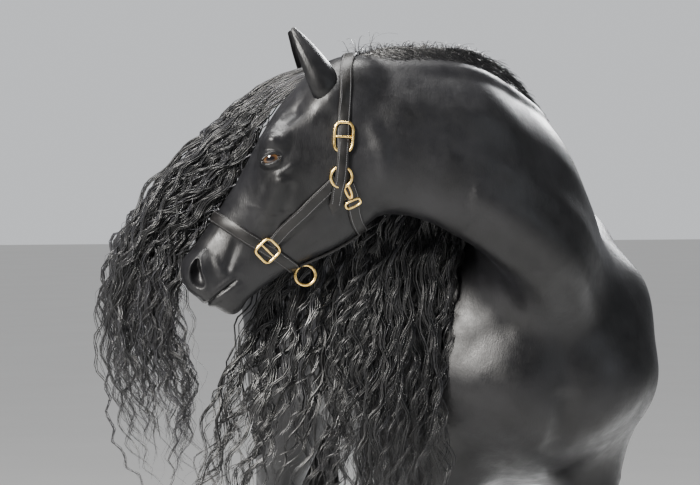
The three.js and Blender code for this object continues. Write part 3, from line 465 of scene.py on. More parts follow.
# Materials.
def material(name, color, roughness, **sockets):
    made = bpy.data.materials.new(name)
    made.use_nodes = True
    shader = made.node_tree.nodes["Principled BSDF"]
    shader.inputs["Base Color"].default_value = (*color, 1)
    shader.inputs["Roughness"].default_value = roughness
    for key, value in sockets.items():
        shader.inputs[key.replace("_", " ")].default_value = value
    return made, made.node_tree, shader


def node(tree, kind, **settings):
    made = tree.nodes.new("ShaderNode" + kind)
    for key, value in settings.items():
        if key in made.bl_rna.properties:
            setattr(made, key, value)
        else:
            made.inputs[key.replace("_", " ")].default_value = value
    return made


def noise(tree, scale, stretch=(1, 1, 1), detail=3.0, rough=0.6):
    coordinates = node(tree, "TexCoord")
    mapping = node(tree, "Mapping")
    mapping.inputs["Scale"].default_value = stretch
    made = node(tree, "TexNoise", Scale=scale, Detail=detail, Roughness=rough)
    tree.links.new(coordinates.outputs["Object"], mapping.inputs["Vector"])
    tree.links.new(mapping.outputs["Vector"], made.inputs["Vector"])
    return made.outputs["Fac"]


def ramp(tree, source, stops):
    made = node(tree, "ValToRGB")
    ends = made.color_ramp.elements
    for k, (at, color) in enumerate(stops):
        spot = ends[k] if k < 2 else ends.new(at)
        spot.position = at
        spot.color = (*color, 1) if len(color) == 3 else color
    tree.links.new(source, made.inputs["Fac"])
    return made.outputs["Color"]


def grey(*values):
    return [(at, (v, v, v)) for at, v in values]


def bumped(tree, shader, layers):
    """Adds bump layers, each a height, a strength and a distance in metres."""
    before = None
    for height, strength, distance in layers:
        bump = node(tree, "Bump", Strength=strength, Distance=distance)
        tree.links.new(height, bump.inputs["Height"])
        if before:
            tree.links.new(before, bump.inputs["Normal"])
        before = bump.outputs["Normal"]
    tree.links.new(before, shader.inputs["Normal"])


def coat_material(settings):
    made, tree, shader = material(
        "black_coat", tuple(settings.coat_color), settings.coat_roughness,
        Sheen_Weight=0.01, Sheen_Roughness=0.35, Sheen_Tint=(0.6, 0.64, 0.75, 1), Specular_IOR_Level=0.30,
    )
    patches = noise(tree, 7.0, detail=4)
    dark = np.array(settings.coat_color)
    color = ramp(tree, patches, [(0.35, tuple(dark * 0.6)), (0.7, tuple(dark * 1.9))])
    tree.links.new(color, shader.inputs["Base Color"])
    rough = settings.coat_roughness
    gloss = ramp(tree, noise(tree, 26.0), grey((0.3, rough - 0.08), (0.75, rough + 0.12)))
    tree.links.new(gloss, shader.inputs["Roughness"])
    hairs = noise(tree, 520.0, stretch=(1.0, 0.45, 0.22), detail=2)
    lie = noise(tree, 60.0, stretch=(1.0, 0.6, 0.35), detail=3)
    bumped(tree, shader, [(lie, 0.14, 0.004), (hairs, 0.3, 0.0012)])
    return made


def hair_material(settings):
    made, tree, shader = material(
        "long_hair", tuple(settings.hair_color), settings.hair_roughness, Specular_IOR_Level=0.6,
        Sheen_Weight=0.02, Sheen_Roughness=0.3, Sheen_Tint=(0.6, 0.62, 0.7, 1),
    )
    tone = node(tree, "Attribute", attribute_name="tone")
    base = np.array(settings.hair_color)
    shades = [(0.0, tuple(base * 0.3)), (0.7, tuple(base * 1.5)), (1.0, tuple(base * 9))]
    color = ramp(tree, tone.outputs["Fac"], shades)
    tree.links.new(color, shader.inputs["Base Color"])
    rough = settings.hair_roughness
    gloss = ramp(tree, tone.outputs["Fac"], grey((0.0, rough + 0.14), (1.0, rough - 0.1)))
    tree.links.new(gloss, shader.inputs["Roughness"])
    return made


def hoof_material():
    made, tree, shader = material("hoof_horn", (0.02, 0.018, 0.016), 0.42, Coat_Weight=0.15, Coat_Roughness=0.3)
    streaks = noise(tree, 60.0, stretch=(1, 1, 0.12), detail=4)
    color = ramp(tree, streaks, [(0.3, (0.012, 0.011, 0.01)), (0.75, (0.05, 0.044, 0.038))])
    tree.links.new(color, shader.inputs["Base Color"])
    bumped(tree, shader, [(noise(tree, 110.0, stretch=(0.2, 0.2, 1)), 0.3, 0.002), (streaks, 0.2, 0.001)])
    return made


def eye_material():
    made, tree, shader = material("eye", (0.05, 0.02, 0.008), 0.10, Coat_Weight=0.6, Coat_Roughness=0.04)
    paint = node(tree, "Attribute", attribute_name="tone")
    color = ramp(
        tree,
        paint.outputs["Fac"],
        [(0.0, (0.001, 0.001, 0.002)), (0.33, (0.002, 0.002, 0.003)), (0.40, (0.025, 0.010, 0.004)),
         (0.66, (0.06, 0.03, 0.010)), (0.78, (0.015, 0.008, 0.005)), (1.0, (0.02, 0.014, 0.012))],
    )
    tree.links.new(color, shader.inputs["Base Color"])
    return made


def leather_material():
    made, tree, shader = material("halter_leather", (0.006, 0.0055, 0.0055), 0.40, Specular_IOR_Level=0.3)
    grain = noise(tree, 700.0, detail=3)
    wear = noise(tree, 38.0, detail=5)
    color = ramp(tree, wear, [(0.35, (0.003, 0.003, 0.003)), (0.72, (0.008, 0.007, 0.007))])
    tree.links.new(color, shader.inputs["Base Color"])
    tree.links.new(ramp(tree, wear, grey((0.3, 0.34), (0.8, 0.52))), shader.inputs["Roughness"])
    bumped(tree, shader, [(wear, 0.15, 0.002), (grain, 0.35, 0.0006)])
    return made


# Painted shade: the punched holes are shallow dishes coloured darker and duller than the leather. The black coat seen
# through a hole is real; the extra darkness of its depth is painted shade.
def hole_painted_shade_material():
    made, tree, shader = material("halter_hole_painted_shade", (0.002, 0.002, 0.002), 0.8)
    bumped(tree, shader, [(noise(tree, 500.0), 0.3, 0.0004)])
    return made


def thread_material():
    made, tree, shader = material("halter_thread", (0.08, 0.08, 0.085), 0.55)
    bumped(tree, shader, [(noise(tree, 900.0), 0.4, 0.0004)])
    return made


def brass_material():
    made, tree, shader = material("halter_brass", (0.78, 0.56, 0.26), 0.24, Metallic=1.0)
    wear = noise(tree, 120.0, detail=5)
    color = ramp(tree, wear, [(0.3, (0.70, 0.44, 0.12)), (0.7, (0.90, 0.66, 0.24))])
    tree.links.new(color, shader.inputs["Base Color"])
    tree.links.new(ramp(tree, wear, grey((0.3, 0.18), (0.8, 0.36))), shader.inputs["Roughness"])
    return made


FINISHES = {}


def finish(name):
    """The one material of a name, made when it is first asked for."""
    settings = bpy.context.scene.horse_looks
    makers = {
        "coat": lambda: coat_material(settings),
        "hair": lambda: hair_material(settings),
        "hoof": hoof_material,
        "eye": eye_material,
        "leather": leather_material,
        "thread": thread_material,
        "hole": hole_painted_shade_material,
        "brass": brass_material,
    }
    if name not in FINISHES:
        FINISHES[name] = makers[name]()
    return FINISHES[name]


# The skin: lofts of the trunk, neck, head and legs, fused, smoothed and then modelled in relief.
def leg_loft(table, sign):
    zs = np.arange(table[1][0][0], table[1][-1][0] - 0.1, -14.0)
    return [leg_ring(table, z, sign) for z in list(zs) + [table[1][-1][0]]]


# Relief of the body, both sides alike: (x, y, z), reach, height. A height below nought is a hollow.
BODY_FORMS = [
    ((110, -800, 1130), 150, 24),
    ((225, -690, 1120), 130, 16),
    ((250, -430, 1110), 200, 16),
    ((200, -420, 1440), 260, 5),
    ((210, 480, 1500), 230, 16),
    ((280, 240, 1010), 200, -7),
    ((232, 720, 1300), 190, 12),
    ((190, 820, 1240), 130, 12),
    ((300, 380, 1360), 120, -9),
    ((262, 560, 1170), 190, 10),
    ((300, -60, 1180), 380, 5),
    ((275, -520, 1250), 110, -6),
    ((240, -610, 1330), 130, 9),
    ((190, 560, 760), 90, 6),
    ((215, 620, 930), 130, 8),
]
# Ridges and grooves along lines of the body: points, reach, height.
BODY_LINES = [
    ([(290, -240, 1540), (300, -360, 1420), (285, -500, 1300), (262, -600, 1180)], 46, 7),
    ([(300, -170, 1480), (312, -290, 1330), (300, -380, 1200), (280, -430, 1090)], 40, -6),
    ([(318, -330, 1050), (322, -220, 1010), (330, 0, 960), (320, 180, 940)], 70, -2),
    ([(300, 620, 1330), (292, 690, 1240), (262, 760, 1120), (220, 760, 1000)], 34, -6),
    ([(262, 800, 1330), (240, 850, 1220), (205, 850, 1080), (200, 820, 960)], 50, 6),
    ([(305, 420, 1250), (300, 500, 1130), (280, 560, 1010), (262, 600, 900)], 60, 6),
    ([(0, -806, 1130), (0, -790, 1050), (0, -740, 960)], 46, -9),
    ([(-40, -812, 1290), (10, -806, 1240), (50, -800, 1190)], 12, -4),
    ([(290, -470, 1110), (275, -460, 990), (262, -480, 900)], 44, 6),
    ([(292, -560, 1080), (272, -545, 980), (258, -540, 880)], 30, -5),
    ([(0, 560, 1640), (0, 720, 1580)], 24, -8),
]
# Veins: thin raised lines.
BODY_VEINS = [
    ([(240, -760, 1010), (250, -650, 930), (258, -540, 870)], 11, 3.0),
    ([(300, 300, 930), (308, 140, 905), (315, -60, 890), (300, -260, 900)], 12, 2.6),
]
# Tendons and muscles of the legs, both sides alike.
LEG_LINES = [
    ([(232, -545, 900), (236, -540, 780), (232, -530, 640)], 24, -4),
    ([(232, -490, 880), (236, -480, 740), (228, -478, 620)], 20, 4),
    ([(218, -478, 430), (216, -474, 330), (220, -472, 250)], 9, 3.5),
    ([(220, -500, 430), (217, -494, 330), (223, -490, 250)], 8, -3.5),
    ([(262, 560, 1000), (256, 640, 860), (238, 740, 720)], 28, 5),
    ([(232, 640, 880), (236, 720, 740), (240, 770, 640)], 24, -5),
    ([(216, 824, 520), (214, 826, 380), (218, 828, 280)], 10, 4),
    ([(222, 800, 520), (216, 802, 380), (222, 806, 280)], 9, -4),
    ([(178, 876, 700), (178, 872, 620), (178, 858, 560)], 18, 7),
]
# Relief of the head in its own frame: (along, rise, left), reach, height.
HEAD_FORMS = [
    ((234, 33, 95), 60, 15),
    ((276, -36, 98), 55, 6),
    ((140, 25, 80), 60, -9),
    ((330, -55, 84), 70, 9),
    ((180, -180, 90), 120, 12),
    ((400, -100, 60), 80, -9),
    ((548, 20, 55), 52, 12),
    ((570, -100, 30), 50, 7),
    ((285, 38, 58), 40, -3),
    ((96, -110, 84), 60, 7),
    ((330, 10, 74), 60, -4),
    ((470, -20, 56), 70, -3),
    ((590, -30, 40), 26, 4),
    ((588, -104, 12), 44, 9),
    ((592, 10, 26), 44, 8),
    ((560, 34, 20), 50, 5),
]
# Ridges and grooves of the head, then its veins: points, reach, height.
HEAD_LINES = [
    ([(218, 4, 98), (236, 26, 102), (262, 34, 102), (294, 28, 98)], 18, 6),
    ([(270, -40, 100), (310, -42, 95), (360, -56, 82), (410, -64, 70)], 27, 7),
    ([(280, -62, 100), (316, -74, 92), (360, -84, 78)], 17, -5),
    ([(70, -120, 78), (120, -190, 92), (190, -240, 88), (260, -250, 78)], 26, 5),
    ([(240, -120, 100), (262, -180, 92), (262, -240, 80)], 22, -4),
    ([(300, -190, 76), (360, -170, 62), (430, -140, 50)], 20, 4),
    ([(300, -150, 80), (370, -130, 64), (450, -104, 52)], 16, -3),
    ([(430, 18, 48), (480, 22, 50), (520, 22, 52)], 16, 4),
    ([(440, -30, 60), (490, -40, 56), (530, -50, 52)], 15, -4),
    ([(500, 2, 60), (522, -26, 60), (536, -52, 54)], 14, 3.5),
    ([(246, -44, 100), (268, -38, 101), (294, -20, 98)], 9, 2.0),
    ([(130, 10, 84), (180, 22, 92), (226, 20, 98)], 26, -5),
    ([(100, 30, 60), (160, 44, 66), (220, 48, 70)], 26, 5),
]
HEAD_VEINS = [
    ([(300, -130, 90), (330, -110, 84), (352, -80, 79), (372, -30, 72), (380, 0, 62)], 8, 1.8),
    ([(372, -40, 72), (410, -50, 64), (450, -44, 58)], 7, 1.4),
    ([(352, -80, 79), (396, -96, 66), (440, -100, 55)], 7, 1.3),
]
NOSTRIL = {"along": 559.0, "rise": 11.0, "left": 52.0, "wide": 14.5, "tall": 31.0, "deep": 28.0}
MOUTH_FRONT = (640.0, -47.0)
MOUTH_CORNER = (527.0, -77.0)


def near_line(co, points, reach):
    """How near each point is to a smooth line: 1 on it, 0 beyond the reach, fading towards the line's ends."""
    line = spline(points, 8 * len(points))
    box_low, box_high = line.min(0) - reach, line.max(0) + reach
    inside = np.all((co > box_low) & (co < box_high), axis=1)
    nearness = np.zeros(len(co))
    if not inside.any():
        return nearness
    p = co[inside]
    best, along = np.full(len(p), 1e9), np.zeros(len(p))
    for k, (a, b) in enumerate(zip(line[:-1], line[1:])):
        d = b - a
        f = np.clip(((p - a) @ d) / max(d @ d, 1e-9), 0, 1)
        gap = np.linalg.norm(p - a - f[:, None] * d, axis=1)
        closer = gap < best
        best = np.where(closer, gap, best)
        along = np.where(closer, (k + f) / (len(line) - 1), along)
    ends = np.clip(np.minimum(along, 1 - along) / 0.22, 0, 1)
    nearness[inside] = (1 - np.clip(best / reach, 0, 1) ** 2) ** 2 * ends * ends * (3 - 2 * ends)
    return nearness


def near_point(co, centre, reach):
    d = np.linalg.norm(co - np.asarray(centre, float), axis=1)
    return (1 - np.clip(d / reach, 0, 1) ** 2) ** 2


# Balls fused with the lofts, where chest, gullet and shoulders fill out: name, centre, radii.
CHEST_BALLS = (
    ("breast_ball", (-20, -672, 1225), (235, 150, 205)),
    ("gullet_ball", (-150, -600, 1250), (150, 150, 180)),
    ("neck_base_ball", (-40, -640, 1330), (200, 140, 170)),
)
SHOULDER_BALLS = (
    ("shoulder_ball", (205, -600, 1190), (110, 150, 240)),
    ("shoulder_top_ball", (166, -380, 1365), (134, 270, 200)),
)
# How often the skin is smoothed: all of it, its junctions, and again once the head is divided.
SKIN_PASSES, JUNCTION_PASSES, LAST_PASSES = 6, 260, 3


def fused_body(voxel):
    """The trunk, neck, head, legs and dock, fused into one surface."""
    torso = [torso_ring(y) for y in np.linspace(TORSO[1][0][0], TORSO[1][-1][0], 90)]
    neck = [neck_ring(t) for t in np.linspace(-0.12, 1.12, 70)]
    head = [head_ring(p) for p in np.linspace(HEAD[1][0][0], HEAD[1][-1][0], 80)]
    parts = [lofted("trunk_loft", torso), lofted("neck_loft", neck), lofted("head_loft", head)]
    for name, table, sign in LEGS:
        parts.append(lofted(name + "_loft", leg_loft(table, sign)))
    dock = []
    for k in np.linspace(0, len(DOCK[1]) - 1, 26):
        z, y, half = (np.interp(k, range(len(DOCK[1])), [row[c] for row in DOCK[1]]) for c in (0, 1, 2))
        side, rise = around(24, 2, 2)
        slope = np.array([0, 0.35, -1.0]) if k < 1.4 else np.array([0, 0.1, -1.0])
        across = unit(np.cross(slope, [1, 0, 0]))
        centre = np.array([0, y - DOCK_SETBACK, z])
        dock.append(centre + side[:, None] * np.array([half, 0, 0]) + rise[:, None] * across * half)
    parts.append(lofted("dock_loft", dock))
    parts += [ball(*shape) for shape in CHEST_BALLS]
    for s in (1, -1):
        parts += [ball(name, (s * x, y, z), radii) for name, (x, y, z), radii in SHOULDER_BALLS]
        root = in_head(EAR_ROOT[0] + 14, EAR_ROOT[1] - 12, s * (EAR_ROOT[2] - 10))
        parts.append(ball("ear_base_ball", root, (48, 48, 56)))
    skin = joined("skin", parts)
    modified(skin, "REMESH", mode="VOXEL", voxel_size=voxel)
    return skin


def junction_weights(co):
    """Where the skin is smoothed most: the neck into the shoulder and the legs into the trunk."""
    weights = np.zeros(len(co))
    spots = [((0, -560, 1560), 260), ((0, -660, 1300), 330), ((0, -330, 1640), 230)]
    spots += [((60, -790, 1210), 230), ((-140, -780, 1240), 240), ((90, -700, 1380), 200)]
    for s in (1, -1):
        spots += [((s * 190, -300, 1450), 240), ((s * 190, -520, 1470), 200)]
        spots += [((s * 190, -640, 1030), 200), ((s * 190, -430, 1010), 190), ((s * 280, -540, 1200), 220)]
        spots += [((s * 210, 470, 1060), 190), ((s * 190, 760, 1120), 200), ((s * 280, 590, 1300), 240)]
        spots += [((s * 120, -540, 930), 150), ((s * 110, 600, 1000), 180), ((s * 130, -540, 1600), 190)]
    spots += [((-380, -800, 1560), 150), ((-430, -760, 1760), 120), ((0, 850, 1470), 120), ((0, 760, 1540), 120)]
    for centre, reach in spots:
        weights = np.maximum(weights, near_point(co, centre, reach))
    return np.clip(weights * 1.6, 0, 1)


def weighted_group(obj, name, weights):
    group = obj.vertex_groups.new(name=name)
    levels = np.rint(weights * 10).astype(int)
    for level in range(1, 11):
        chosen = np.nonzero(levels == level)[0]
        if len(chosen):
            group.add(chosen.tolist(), level / 10, "REPLACE")
    return group


def divided(obj, chosen, cuts=1):
    """Divides the faces whose centres are chosen by a test, and keeps the rest."""
    mesh = obj.data
    centres = np.empty(len(mesh.polygons) * 3)
    mesh.polygons.foreach_get("center", centres)
    centres = centres.reshape(-1, 3) * 1000 - SHIFT
    pick = chosen(centres)
    only(obj)
    bpy.ops.object.mode_set(mode="EDIT")
    bpy.ops.mesh.select_all(action="DESELECT")
    bpy.ops.mesh.select_mode(type="FACE")
    bpy.ops.object.mode_set(mode="OBJECT")
    mesh.polygons.foreach_set("select", pick.astype(bool))
    bpy.ops.object.mode_set(mode="EDIT")
    bpy.ops.mesh.subdivide(number_cuts=cuts, smoothness=0.0)
    bpy.ops.mesh.select_all(action="DESELECT")
    bpy.ops.mesh.select_mode(type="VERT")
    bpy.ops.object.mode_set(mode="OBJECT")


def head_coordinates(co):
    """Points of the animal's frame as along, rise and left of the head's."""
    d = co - POLL
    return d @ ALONG, d @ BROW, d @ HEAD_LEFT


def eye_centre(sign):
    return in_head(EYE_PLACE[0], EYE_PLACE[1], sign * EYE_PLACE[2])


def eye_frame(sign):
    """The eye's outward direction, the direction of its slit and the direction across it."""
    out = unit(HEAD_LEFT * sign + BROW * 0.16 + ALONG * 0.1)
    slit = ALONG * math.cos(EYE_TILT) + BROW * math.sin(EYE_TILT)
    slit = unit(slit - out * (slit @ out))
    up = np.cross(slit, out)
    up = up * (1 if up @ BROW > 0 else -1)
    return out, slit, up


def lid_profile(f):
    """Half openings above and below the slit at f from the inner corner (1) to the outer (-1)."""
    upper = 11.5 * np.clip(1 - np.abs(f) ** 2.3, 0, 1) ** 0.75 * (1 - 0.12 * f)
    lower = 9.6 * np.clip(1 - np.abs(f) ** 2.1, 0, 1) ** 0.85 * (1 + 0.1 * f)
    return upper, lower


LID_HALF = 23.5


def eye_hollow(co, sign):
    """Pushes the skin back behind the lids, so that the opening shows the eyeball, and rounds the lids over it."""
    centre = eye_centre(sign)
    out, slit, up = eye_frame(sign)
    d = co - centre
    a, b, o = d @ slit, d @ up, d @ out
    near = (np.abs(a) < 60) & (np.abs(b) < 50) & (o > -25) & (o < 50)
    f = a / LID_HALF
    upper, lower = lid_profile(np.clip(f, -1, 1))
    opening = np.where(b > 0, b / np.maximum(upper, 0.4), -b / np.maximum(lower, 0.4))
    opening = np.where(np.abs(f) >= 1, 9.0, opening)
    r = np.sqrt((a / 30) ** 2 + (b / 24) ** 2)
    ball = np.sqrt(np.maximum((EYE_RADIUS + 5.0) ** 2 - a**2 - b**2, 0))
    over = np.clip(1.25 - r, 0, 1) / 1.25
    target = np.where(ball > 0, np.maximum(ball, o), o)
    shift = np.where(near, (target - o) * np.clip(over * 2.4, 0, 1), 0)
    inner = near & (opening < 1.0)
    depth = np.where(inner, EYE_RADIUS - 9.0 - (o + shift), 0)
    moved = co + out * (shift + np.where(inner, depth * np.clip((1.0 - opening) * 4.5, 0, 1), 0))[:, None]
    crease = near & (b > 0)
    fold = np.exp(-(((b - upper - 8.0) / 2.6) ** 2)) * np.clip(1 - np.abs(f) / 1.25, 0, 1) ** 0.5
    moved = moved - out * np.where(crease, 2.2 * fold, 0)[:, None]
    return moved


def nostril_frame(sign):
    out = unit(HEAD_LEFT * sign * 0.95 + ALONG * 0.42 + BROW * 0.12)
    long = unit(np.array([0, 0, 1.0]) + BROW * 0.12)
    long = unit(long - out * (long @ out))
    wide = np.cross(out, long)
    return out, long, wide


def nostril_hollow(co, sign):
    """A comma-shaped nostril: a deep hollow with a raised, rolled rim."""
    centre = in_head(NOSTRIL["along"], NOSTRIL["rise"] - 8, sign * NOSTRIL["left"])
    out, long, wide = nostril_frame(sign)
    d = co - centre
    u, v, o = d @ long, d @ wide, d @ out
    toward = np.sign(wide @ ALONG)
    v = v * toward
    bend = 6.0 * (u / NOSTRIL["tall"]) ** 2
    across = (v + bend - 2) / (NOSTRIL["wide"] * np.clip(1 - 0.28 * u / NOSTRIL["tall"], 0.5, 1.5))
    r = np.sqrt((u / NOSTRIL["tall"]) ** 2 + across**2)
    near = (np.abs(u) < 70) & (np.abs(v) < 60) & (o > -30) & (o < 45)
    pit = np.clip(1 - r, 0, 1) ** 0.55 * NOSTRIL["deep"]
    rim = np.exp(-(((r - 1.16) / 0.22) ** 2)) * 4.2 * np.where(v < 0, 1.0, 0.75)
    swell = np.exp(-(((r - 1.5) / 0.5) ** 2)) * 2.0
    return co + out * np.where(near, rim + swell - pit, 0)[:, None]


def mouth_groove(co):
    """The line between the lips and the soft swell of each."""
    p, q, _ = head_coordinates(co)
    along = np.clip((p - MOUTH_CORNER[0]) / (MOUTH_FRONT[0] - MOUTH_CORNER[0]), -0.5, 1.5)
    line = MOUTH_CORNER[1] + (MOUTH_FRONT[1] - MOUTH_CORNER[1]) * along + 5 * np.sin(np.clip(along, 0, 1) * math.pi)
    reach = np.clip((along + 0.04) / 0.10, 0, 1)
    gap = np.exp(-(((q - line) / 2.3) ** 2)) * 6.0 * reach
    lips = (np.exp(-(((q - line - 9) / 7) ** 2)) * 2.4 + np.exp(-(((q - line + 9) / 7) ** 2)) * 3.0) * reach
    corner = near_point(co, in_head(MOUTH_CORNER[0] - 5, MOUTH_CORNER[1] - 2, 46), 16)
    corner += near_point(co, in_head(MOUTH_CORNER[0] - 5, MOUTH_CORNER[1] - 2, -46), 16)
    return np.where(p > 480, lips - gap, 0) - 1.2 * corner


def make_skin():
    looks = bpy.context.scene.horse_looks
    skin = fused_body(looks.voxel)
    co = places(skin) * 1000 - SHIFT
    weighted_group(skin, "junctions", junction_weights(co))
    modified(skin, "SMOOTH", factor=0.5, iterations=SKIN_PASSES)
    modified(skin, "SMOOTH", factor=0.5, iterations=JUNCTION_PASSES, vertex_group="junctions")
    skin.vertex_groups.clear()

    def head_area(c):
        p, q, l = head_coordinates(c)
        return (p > 60) & (np.abs(l) < 160) & (q > -300) & (c[:, 0] < -250)

    def face_area(c):
        keep = np.zeros(len(c), bool)
        for s in (1, -1):
            keep |= np.linalg.norm(c - eye_centre(s), axis=1) < 62
            keep |= np.linalg.norm(c - in_head(NOSTRIL["along"], 6, s * 46), axis=1) < 58
        p, q, _ = head_coordinates(c)
        return keep | ((p > 505) & (q < -30) & (q > -110))

    divided(skin, head_area)
    divided(skin, face_area)
    only(skin)
    bpy.ops.object.mode_set(mode="EDIT")
    bpy.ops.mesh.select_all(action="SELECT")
    bpy.ops.mesh.quads_convert_to_tris()
    bpy.ops.object.mode_set(mode="OBJECT")
    modified(skin, "SMOOTH", factor=0.5, iterations=LAST_PASSES)
    relief(skin)
    smooth_shaded(skin)
    return skin


def relief(skin):
    co = places(skin) * 1000 - SHIFT
    normal = outward(skin).copy()
    lift = np.zeros(len(co))
    p = head_coordinates(co)[0]
    head_part = np.clip((p - 20) / 60, 0, 1) * (co[:, 0] < -300) * (co[:, 1] < -480)
    mirror = co.copy()
    mirror[:, 0] = np.abs(mirror[:, 0])
    trunk = 1 - head_part
    for centre, reach, by in BODY_FORMS:
        lift += trunk * by * near_point(mirror, centre, reach)
    for points, reach, by in BODY_LINES + BODY_VEINS + LEG_LINES:
        lift += trunk * by * near_line(mirror, points, reach)
    for s in (1, -1):
        for (a, b, c), reach, by in HEAD_FORMS:
            lift += head_part * by * near_point(co, in_head(a, b, s * c), reach)
        for points, reach, by in HEAD_LINES + HEAD_VEINS:
            line = [in_head(a, b, s * c) for a, b, c in points]
            lift += head_part * by * near_line(co, line, reach)
    for t, turn, reach, by in NECK_FORMS:
        for side_turn in (turn, 180 - turn):
            lift += by * near_point(co, neck_surface(t, side_turn), reach) * (1 - head_part)
    for points, reach, by in NECK_LINES:
        for mirrored in (False, True):
            line = [neck_surface(t, 180 - turn if mirrored else turn) for t, turn in points]
            lift += by * near_line(co, line, reach) * (1 - head_part)
    lift += mouth_groove(co)
    co = co + normal * lift[:, None]
    for s in (1, -1):
        co = eye_hollow(co, s)
        co = nostril_hollow(co, s)
    place(skin, metres(co))


# Relief of the neck by (t, turn): bulges and the lines of the long muscles and the jugular groove.
NECK_FORMS = [(0.35, 30, 150, 10), (0.62, 28, 120, 8), (0.12, 0, 150, 8), (0.9, -10, 90, 5)]
NECK_LINES = [
    ([(0.02, -44), (0.3, -40), (0.6, -36), (0.95, -30)], 58, 8),
    ([(0.02, -70), (0.3, -66), (0.6, -62), (0.95, -56)], 44, -5),
    ([(0.05, -4), (0.35, 2), (0.6, 6), (0.95, 10)], 60, -6),
    ([(0.02, 42), (0.35, 46), (0.6, 50), (0.95, 54)], 30, 7),
]


# Ears: an outer shell and the hollow inside it, as one closed leaf of skin.
EAR_ROOT = (76.0, -30.0, 62.0)
EAR_LENGTH = 172.0
EAR_SECTIONS = (
    "s half deep",
    [
        (-0.26, 46, 28), (0.0, 50, 31), (0.2, 46, 31), (0.42, 38, 26),
        (0.65, 27, 19), (0.82, 16, 12), (0.92, 8.5, 7), (1, 2.0, 2.5),
    ],
)


def ear_frame(sign):
    rise = unit(np.array([0, 0, 0.86]) + 0.5 * HEADING + 0.14 * sign * HEAD_LEFT)
    facing = -0.5 * sign * HEAD_LEFT + 0.75 * HEADING
    facing = unit(facing - rise * (facing @ rise))
    across = np.cross(facing, rise)
    return rise, facing, across


def ear_point(sign, s, turn, shell):
    """A point of the ear at s along it: turn runs round the shell, from edge to edge through the back."""
    rise, facing, across = ear_frame(sign)
    root = in_head(EAR_ROOT[0], EAR_ROOT[1], sign * EAR_ROOT[2])
    half = float(between(EAR_SECTIONS, s, "half"))
    deep = float(between(EAR_SECTIONS, s, "deep"))
    bend = HEAD_LEFT * (-sign * 16 * s * s)
    sink = -HEAD_LEFT * sign * 50 * (max(0.0, 0.12 - s) / 0.38) ** 1.4
    centre = root + rise * (EAR_LENGTH * s) + bend + sink
    wall = shell * (4.2 - 2.6 * s)
    open_half = 1.0 - 0.10 * (1 - s)
    c, d = math.cos(turn), math.sin(turn)
    curl = 1 - 0.30 * (1 - s) * max(0.0, 1 - abs(turn) / 0.6)
    return centre + across * (half - wall) * d * open_half * curl - facing * (deep - wall) * c


def make_ears():
    for name, sign in SIDES:
        rows = []
        for s in np.linspace(-0.26, 0.955, 48):
            edge = math.radians(124 - 34 * max(0.0, s) ** 0.8)
            turns = np.linspace(-edge, edge, 40)
            outer = [ear_point(sign, s, t, 0.0) for t in turns]
            inner = [ear_point(sign, s, t, 1.0) for t in turns[::-1]]
            rows.append(outer + inner)
        ear = lofted("ear_" + name + "_skin", np.array(rows))
        co = places(ear) * 1000 - SHIFT
        hair = np.sin(co @ np.array([0.9, 0.5, 0.2]) * 1.1) * 0.25
        place(ear, metres(co + outward(ear) * hair[:, None]))
        modified(ear, "SMOOTH", factor=0.4, iterations=2)
        modified(ear, "SUBSURF", levels=1)
        smooth_shaded(ear)
        finished(ear, "coat", finish("coat"), "ear_" + name)


# Eyes: a wet ball with a long pupil, between two lids.
def make_eyes():
    for name, sign in SIDES:
        out, slit, up = eye_frame(sign)
        deselect()
        bpy.ops.mesh.primitive_uv_sphere_add(segments=72, ring_count=48, radius=1)
        eye = bpy.context.object
        eye.name = "eyeball_" + name
        unit_co = places(eye)
        a, b, o = unit_co[:, 0], unit_co[:, 1], unit_co[:, 2]
        bulge = 1 + 0.06 * np.clip(o - 0.5, 0, 1) ** 2
        turned = a[:, None] * slit + b[:, None] * up + o[:, None] * out
        world = eye_centre(sign) + EYE_RADIUS * bulge[:, None] * turned
        place(eye, metres(world))
        recalculate(eye)
        pupil = np.sqrt((a / 0.34) ** 2 + (b / 0.15) ** 2) * 0.33
        iris = np.sqrt((a / 0.62) ** 2 + (b / 0.55) ** 2) * 0.76
        tone = np.where(pupil < 0.36, np.minimum(pupil, 0.36), np.maximum(0.37, iris))
        tone = np.where(o < 0, 1.0, np.clip(tone, 0, 1))
        attribute = eye.data.attributes.new("tone", "FLOAT", "POINT")
        attribute.data.foreach_set("value", tone.astype(np.float32))
        smooth_shaded(eye)
        finished(eye, "eye", finish("eye"), "eye_" + name)
        lids = []
        for is_upper in (True, False):
            rows = []
            for f in np.linspace(-1.04, 1.04, 56):
                upper, lower = lid_profile(np.clip(f, -0.9999, 0.9999))
                b0 = float(upper if is_upper else -lower)
                a0 = f * LID_HALF
                o0 = math.sqrt(max((EYE_RADIUS + 2.2) ** 2 - a0**2 - b0**2, 4.0))
                centre = eye_centre(sign) + slit * a0 + up * b0 + out * o0
                thick = 2.8 if is_upper else 2.0
                across = unit(up * (1 if is_upper else -1) * 0.75 + out * 0.65)
                over = unit(out * 0.75 - up * (1 if is_upper else -1) * 0.65)
                taper = max(0.25, (1 - abs(f) ** 6) ** 0.5) if abs(f) < 1 else 0.25
                k = np.arange(14) / 14 * 2 * np.pi
                long, short = np.cos(k)[:, None] * across, np.sin(k)[:, None] * over
                rows.append(centre + long * thick * 1.5 * taper + short * thick * taper)
            lids.append(lofted("lid", np.array(rows)))
        lid = joined("eyelids_" + name, lids)
        smooth_shaded(lid)
        finished(lid, "coat", finish("coat"))


